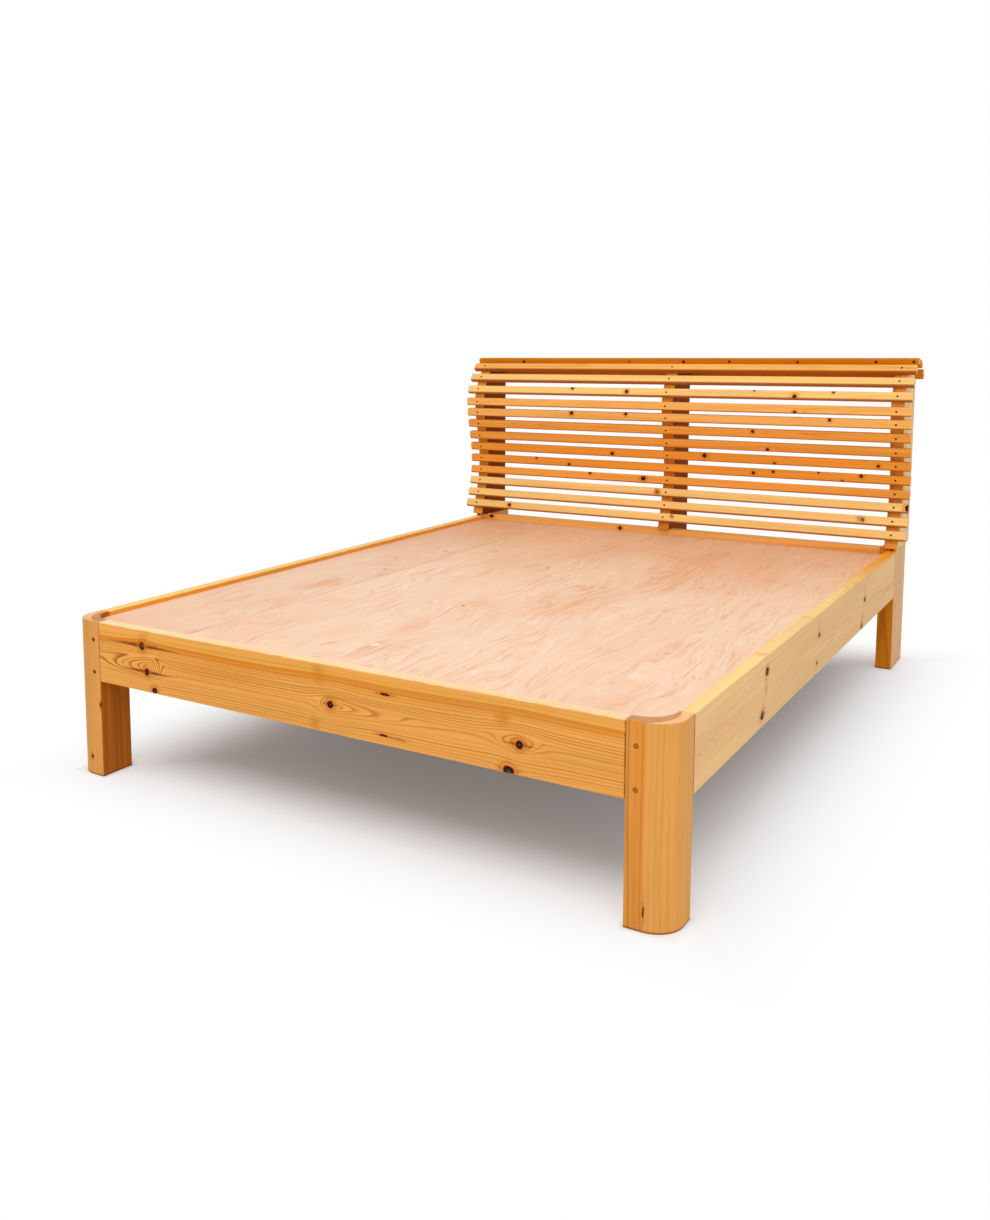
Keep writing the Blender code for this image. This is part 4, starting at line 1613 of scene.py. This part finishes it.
@dataclass
class Headboard:
    """The three sawn posts and the sixteen slats nailed across them.

    Attributes:
        core: A place inside the roll of the slats, along the bed and upwards.
        posts: The posts' names and the tones painted on their right faces: painted shade on the
            left and centre posts, painted light on the right one.
        slat_tones: The tones of the slats, with the slats' numbers.
        dome: The steps of a nail's dome: how far in, in radii, and how far up, as a share.
    """

    slats: int = 16
    core: tuple[float, float] = (1.03, 0.94)
    posts: tuple[tuple[str, Colour], ...] = (
        ("left", paint(138, 66, 4, 1.0)),
        ("centre", paint(138, 66, 4, 1.0)),
        ("right", paint(244, 208, 162, 0.9)),
    )
    slat_tones: tuple[tuple[Tones, tuple[int, ...]], ...] = (
        (STRAW, (1, 2, 3, 11, 12)),
        (AMBER, (9, 10, 13)),
        (ORANGE, (4, 7, 8)),
        (COPPER, (5, 6)),
        (RUSSET_SHADE, (14, 15, 16)),
    )
    slat_lines: float = 1.0
    # Painted shade under each slat's lower arris.
    slat_soil: float = 0.85
    shine: float = 0.012
    nail_radius: float = 0.0034
    nail_sides: int = 12
    nail_proud: float = 0.0006
    nail_round: float = 50.0
    dome: tuple[tuple[float, float], ...] = ((0.0, 0.4), (0.3, 0.45), (0.35, 0.15))
    leg_nail_drop: float = 0.006
    end_face: float = 0.1

    def slat_lean(self, node: str) -> float:
        """Find how far a slat leans back, from its widest face.

        Args:
            node: The slat's CAD node.

        Returns:
            The angle between the slat's front face and upright, in radians.
        """
        middle = box_middle(node)
        core_y, core_z = self.core
        outward = Vector((0.0, middle.y - core_y, middle.z - min(middle.z, core_z)))
        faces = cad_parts[node].data.polygons
        long_faces = [face for face in faces if abs(face.normal.x) < self.end_face]
        normal = max(long_faces, key=lambda face: face.area).normal.copy()
        if normal.dot(outward) < 0:
            normal.negate()
        return math.atan2(normal.z, -normal.y)

    def slat_board(self, number: int) -> Board:
        """Describe one slat's timber.

        Args:
            number: The slat's number, counted from the lowest at the front.

        Returns:
            The slat as a board.
        """
        node = f"headboard_slat_{number:02d}"
        tones = next(tones for tones, numbers in self.slat_tones if number in numbers)
        return Board(
            node, Grain.CROSSWISE, tones,
            replace(Log.drawn(node, self.slat_lines), heart=0.0),
            knots=SLAT_KNOTS.get(number, ()),
            stains=SLAT_STAINS.get(number, ()),
            lean=self.slat_lean(node),
            lower_shade=0.0 if tones is RUSSET_SHADE else self.slat_soil,
            shine=self.shine,
        )

    def dress(self) -> list[bpy.types.Object]:
        """Dress the slats, and make and dress the rounded posts.

        Returns:
            The slats and posts.
        """
        pieces = []
        for number in range(1, self.slats + 1):
            board = self.slat_board(number)
            material = PINE.dress(board, top_light_and_arris_wear=False)
            pieces.append(Bench.coat(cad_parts[board.node], material))
        for name, right_face_lighting in self.posts:
            board = Board(f"headboard_post_{name}", Grain.UPRIGHT, CARAMEL, right_face_lighting=right_face_lighting,
                          shine=self.shine)
            pieces.append(Bench.rounded(board, "post_pine"))
        return pieces

    def nail(self) -> bpy.types.Object:
        """Model one nail head with a low dome, its face at the origin and its axis upwards.

        Returns:
            The nail head.
        """
        nail = Bench.start_head(self.nail_radius, self.nail_sides)
        for inset, rise in self.dome:
            if inset:
                bpy.ops.mesh.inset(thickness=self.nail_radius * inset)
            Bench.lift(self.nail_proud * rise)
        Bench.end_head(self.nail_round)
        return nail

    def nail_places(self, post: str) -> list[Matrix]:
        """Find where the nails of one post go through the slats.

        Args:
            post: The post's name.

        Returns:
            The nails' places and turns.
        """
        across = box_middle(f"headboard_post_{post}").x
        places = []
        for number in range(1, self.slats + 1):
            board = self.slat_board(number)
            middle = board.middle
            facing = Vector((0.0, -math.cos(board.lean), math.sin(board.lean)))
            corners = [vertex.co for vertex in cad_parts[board.node].data.vertices]
            proud = max((corner - middle).dot(facing) for corner in corners)
            spot = Vector((across, middle.y, middle.z)) + facing * proud
            places.append(stand(spot, facing))
        if post != "centre":
            low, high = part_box(f"head_leg_{post}")
            spot = Vector((across, low[1], high[2] - self.leg_nail_drop))
            places.append(stand(spot, Vector((0.0, -1.0, 0.0))))
        return places

    def build_nails(self) -> list[bpy.types.Object]:
        """Nail the slats to the posts, and hand back one group of nails for each post."""
        rows = {f"slat_nails_{post}": self.nail_places(post) for post, _ in self.posts}
        return Bench.scatter(self.nail(), rows, NAIL_STEEL)


@dataclass
class Hardware:
    """The bolts of the headboard, and the screws that hold the timbers under the deck."""

    head_radius: float = 0.0045
    head_sides: int = 16
    head_proud: float = 0.0008
    head_round: float = 40.0
    recess_radius: float = 0.0022
    recess_depth: float = 0.0006
    recess_taper: float = 0.8
    ledger_screws: int = 6
    cleat_screws: int = 5
    bearer_screws: int = 3
    end_gap: float = 0.08

    def dress_bolts(self) -> list[bpy.types.Object]:
        """Dress the bolts that hold the posts.

        Returns:
            The bolts.
        """
        steel = BOLT_STEEL.dress()
        return [Bench.coat(piece, steel) for name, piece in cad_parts.items()
                if name.startswith("post_bolt")]

    def screw(self) -> bpy.types.Object:
        """Model one screw head with a tapered recess, its axis upwards.

        Returns:
            The screw head.
        """
        screw = Bench.start_head(self.head_radius, self.head_sides)
        Bench.lift(self.head_proud)
        bpy.ops.mesh.inset(thickness=self.head_radius - self.recess_radius)
        bpy.ops.mesh.extrude_region_move(
            TRANSFORM_OT_translate={"value": (0.0, 0.0, -self.recess_depth)})
        bpy.ops.transform.resize(value=(self.recess_taper, self.recess_taper, 1.0))
        Bench.end_head(self.head_round)
        return screw

    def row(self, node: str, axis: int, count: int, facing: Vector) -> list[Matrix]:
        """Space screws along one face of a timber.

        Args:
            node: The timber's CAD node.
            axis: The axis that the row runs along, 0 for X and 1 for Y.
            count: How many screws there are.
            facing: The way the face looks.

        Returns:
            The screws' places and turns.
        """
        middle, half = box_middle(node), box_half(node)
        reach = half[axis] - self.end_gap
        places = []
        for index in range(count):
            spot = middle + Vector(facing[i] * half[i] for i in range(3))
            spot[axis] = middle[axis] + reach * (2 * index / (count - 1) - 1)
            places.append(stand(spot, facing))
        return places

    def build_screws(self) -> list[bpy.types.Object]:
        """Put the screws in the timbers under the deck.

        Returns:
            The groups of screws.
        """
        ledgers, cleats = self.ledger_screws, self.cleat_screws
        rows = {
            "ledger_screws_left": self.row("side_ledger_left", 1, ledgers, Vector((1, 0, 0))),
            "ledger_screws_right": self.row("side_ledger_right", 1, ledgers, Vector((-1, 0, 0))),
            "cleat_screws_foot": self.row("foot_cleat", 0, cleats, Vector((0, 1, 0))),
            "cleat_screws_head": self.row("head_cleat", 0, cleats, Vector((0, -1, 0))),
            "bearer_screws": [],
        }
        for index in range(1, Support.bearers + 1):
            rows["bearer_screws"] += self.row(f"deck_bearer_{index:02d}", 0, self.bearer_screws,
                                              Vector((0, 0, -1)))
        return Bench.scatter(self.screw(), rows, SCREW_STEEL)


@dataclass
class Studio:
    """A white floor, soft light and the camera.

    The camera's values are those of a pinhole fitted to a frame of 990 by 1220 pixels.
    """

    frame_px: tuple[int, int] = (990, 1220)
    focal_px: float = 1131.168
    middle_px: tuple[float, float] = (413.679, 477.959)
    yaw: float = math.radians(32.954)
    pitch: float = math.radians(6.5438)
    roll: float = math.radians(0.2761)
    camera_place: tuple[float, float, float] = (1.4631, -3.0171, 1.0741)
    sensor: float = 36.0
    floor_size: float = 60.0
    white: Colour = (1.0, 1.0, 1.0, 1.0)
    shaded: Colour = paint(205, 225, 246)
    lit: Colour = paint(244, 247, 250)
    shade_middle: tuple[float, float, float] = (0.04, 0.0, 0.0)
    shade_half: tuple[float, float, float] = (0.86, 1.15, 0.0)
    leg_names: tuple[str, ...] = ("foot_leg_left", "foot_leg_right", "head_leg_left",
                                  "head_leg_right")
    leg_reach: float = 0.014
    leg_shade: float = 0.35
    white_from: float = -0.32
    white_to: float = 0.2
    shadow_glow: float = 0.07
    shade_from: float = -0.5
    shade_to: float = -0.05
    sky: float = 0.75
    key_place: tuple[float, float, float] = (1.0, -3.4, 4.8)
    key_aim: tuple[float, float, float] = (0.0, -0.1, 0.3)
    key_size: float = 3.5
    key_power: float = 100.0

    def set_camera(self) -> None:
        """Put the camera where the fitted pinhole is."""
        flat, drop = math.cos(self.pitch), -math.sin(self.pitch)
        ahead = Vector((-math.sin(self.yaw) * flat, math.cos(self.yaw) * flat, drop))
        level = Vector((math.cos(self.yaw), math.sin(self.yaw), 0.0))
        down = ahead.cross(level)
        right = math.cos(self.roll) * level + math.sin(self.roll) * down
        below = math.cos(self.roll) * down - math.sin(self.roll) * level
        turn = Matrix((right, -below, -ahead)).transposed()
        camera = bpy.data.objects.new("camera", bpy.data.cameras.new("camera"))
        bpy.context.scene.collection.objects.link(camera)
        camera.matrix_world = Matrix.Translation(self.camera_place) @ turn.to_4x4()
        width, height = self.frame_px
        camera.data.sensor_width = self.sensor
        camera.data.lens = self.focal_px / height * self.sensor
        camera.data.shift_x = (width / 2 - self.middle_px[0]) / height
        camera.data.shift_y = -(height / 2 - self.middle_px[1]) / height
        bpy.context.scene.camera = camera

    def seen_directly(self, graph: Graph) -> Field:
        """Tell the rays that show a surface to the eye from those that only light others.

        Args:
            graph: The nodes of the floor or the sky.

        Returns:
            One for a camera, glossy or transmission ray, and nought for the rest.
        """
        path = graph.node("ShaderNodeLightPath")
        seen = Field(graph, path.outputs["Is Camera Ray"])
        for kind in ("Is Glossy Ray", "Is Transmission Ray"):
            seen = graph.math("MAXIMUM", seen, Field(graph, path.outputs[kind]))
        return seen

    def outside(self, graph: Graph, middle: Sequence[float], half: Sequence[float]) -> Field:
        """Measure how far a place on the floor is outside an upright box.

        Args:
            graph: The floor's nodes.
            middle: The box's middle.
            half: Half the box's size.

        Returns:
            The distance, which is below nought inside.
        """
        beyond = graph.vector("ABSOLUTE", graph.vector("SUBTRACT", graph.place(), tuple(middle)))
        across, along, _ = graph.vector("SUBTRACT", beyond, tuple(half)).parts()
        return graph.math("MAXIMUM", across, along)

    def lay_floor(self) -> bpy.types.Object:
        """Lay the white floor, which takes the bed's shadow and turns pure white away from it.

        Returns:
            The floor.
        """
        Bench.clear_choice()
        bpy.ops.mesh.primitive_plane_add(size=self.floor_size)
        floor = bpy.context.active_object
        floor.name = "floor"
        graph = Graph.named("white_floor")
        outside = self.outside(graph, self.shade_middle, self.shade_half)
        # A little white glow also lifts the bed's shadow on the floor: painted light.
        away = outside.spread(self.white_from, self.white_to, self.shadow_glow)
        for name in self.leg_names:
            beside = self.outside(graph, box_middle(name), box_half(name))
            away = away * beside.spread(0.0, self.leg_reach, self.leg_shade, 1.0)
        tint = graph.mix(outside.spread(self.shade_from, self.shade_to), self.shaded, self.lit)
        matt = graph.node("ShaderNodeBsdfDiffuse", tint).outputs[0]
        glow = graph.node("ShaderNodeEmission", self.white, 1.0).outputs[0]
        both = graph.node("ShaderNodeMixShader", away * self.seen_directly(graph),
                          Field(graph, matt), Field(graph, glow)).outputs[0]
        nodes = graph.tree.nodes
        graph.feed(nodes["Material Output"].inputs["Surface"], Field(graph, both))
        nodes.remove(nodes["Principled BSDF"])
        Bench.coat(floor, graph.owner)
        return floor

    def light(self) -> None:
        """Light the bed with a pale sky and one large lamp above the camera."""
        world = bpy.data.worlds.new("sky")
        bpy.context.scene.world = world
        graph = Graph(world)
        background = graph.tree.nodes["Background"]
        background.inputs["Color"].default_value = self.white
        level = self.seen_directly(graph) * (1.0 - self.sky) + self.sky
        graph.feed(background.inputs["Strength"], level)
        lamp = bpy.data.objects.new("key_lamp", bpy.data.lights.new("key_lamp", "AREA"))
        bpy.context.scene.collection.objects.link(lamp)
        lamp.data.size = self.key_size
        lamp.data.energy = self.key_power
        aim = (Vector(self.key_aim) - Vector(self.key_place)).to_track_quat("-Z", "Y")
        lamp.matrix_world = Matrix.Translation(self.key_place) @ aim.to_matrix().to_4x4()

    def build(self) -> bpy.types.Object:
        """Set up the camera, the light and the floor.

        Returns:
            The floor.
        """
        bpy.context.scene.view_settings.view_transform = "Standard"
        self.set_camera()
        self.light()
        return self.lay_floor()


def report(assembly: str, pieces: Sequence[bpy.types.Object]) -> None:
    """Name each piece of a sub-assembly in the log."""
    for piece in pieces:
        LOG.info("%s: %s", assembly, piece.name)


def main() -> None:
    """Build and dress the bed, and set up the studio."""
    logging.basicConfig(level=logging.INFO, format="%(message)s")
    Studio().build()
    report("frame", BedFrame().build())
    report("deck", Deck().dress())
    report("support", Support().dress())
    headboard = Headboard()
    report("headboard", headboard.dress())
    report("nails", headboard.build_nails())
    hardware = Hardware()
    report("bolts", hardware.dress_bolts())
    report("screws", hardware.build_screws())


if __name__ == "__main__":
    main()
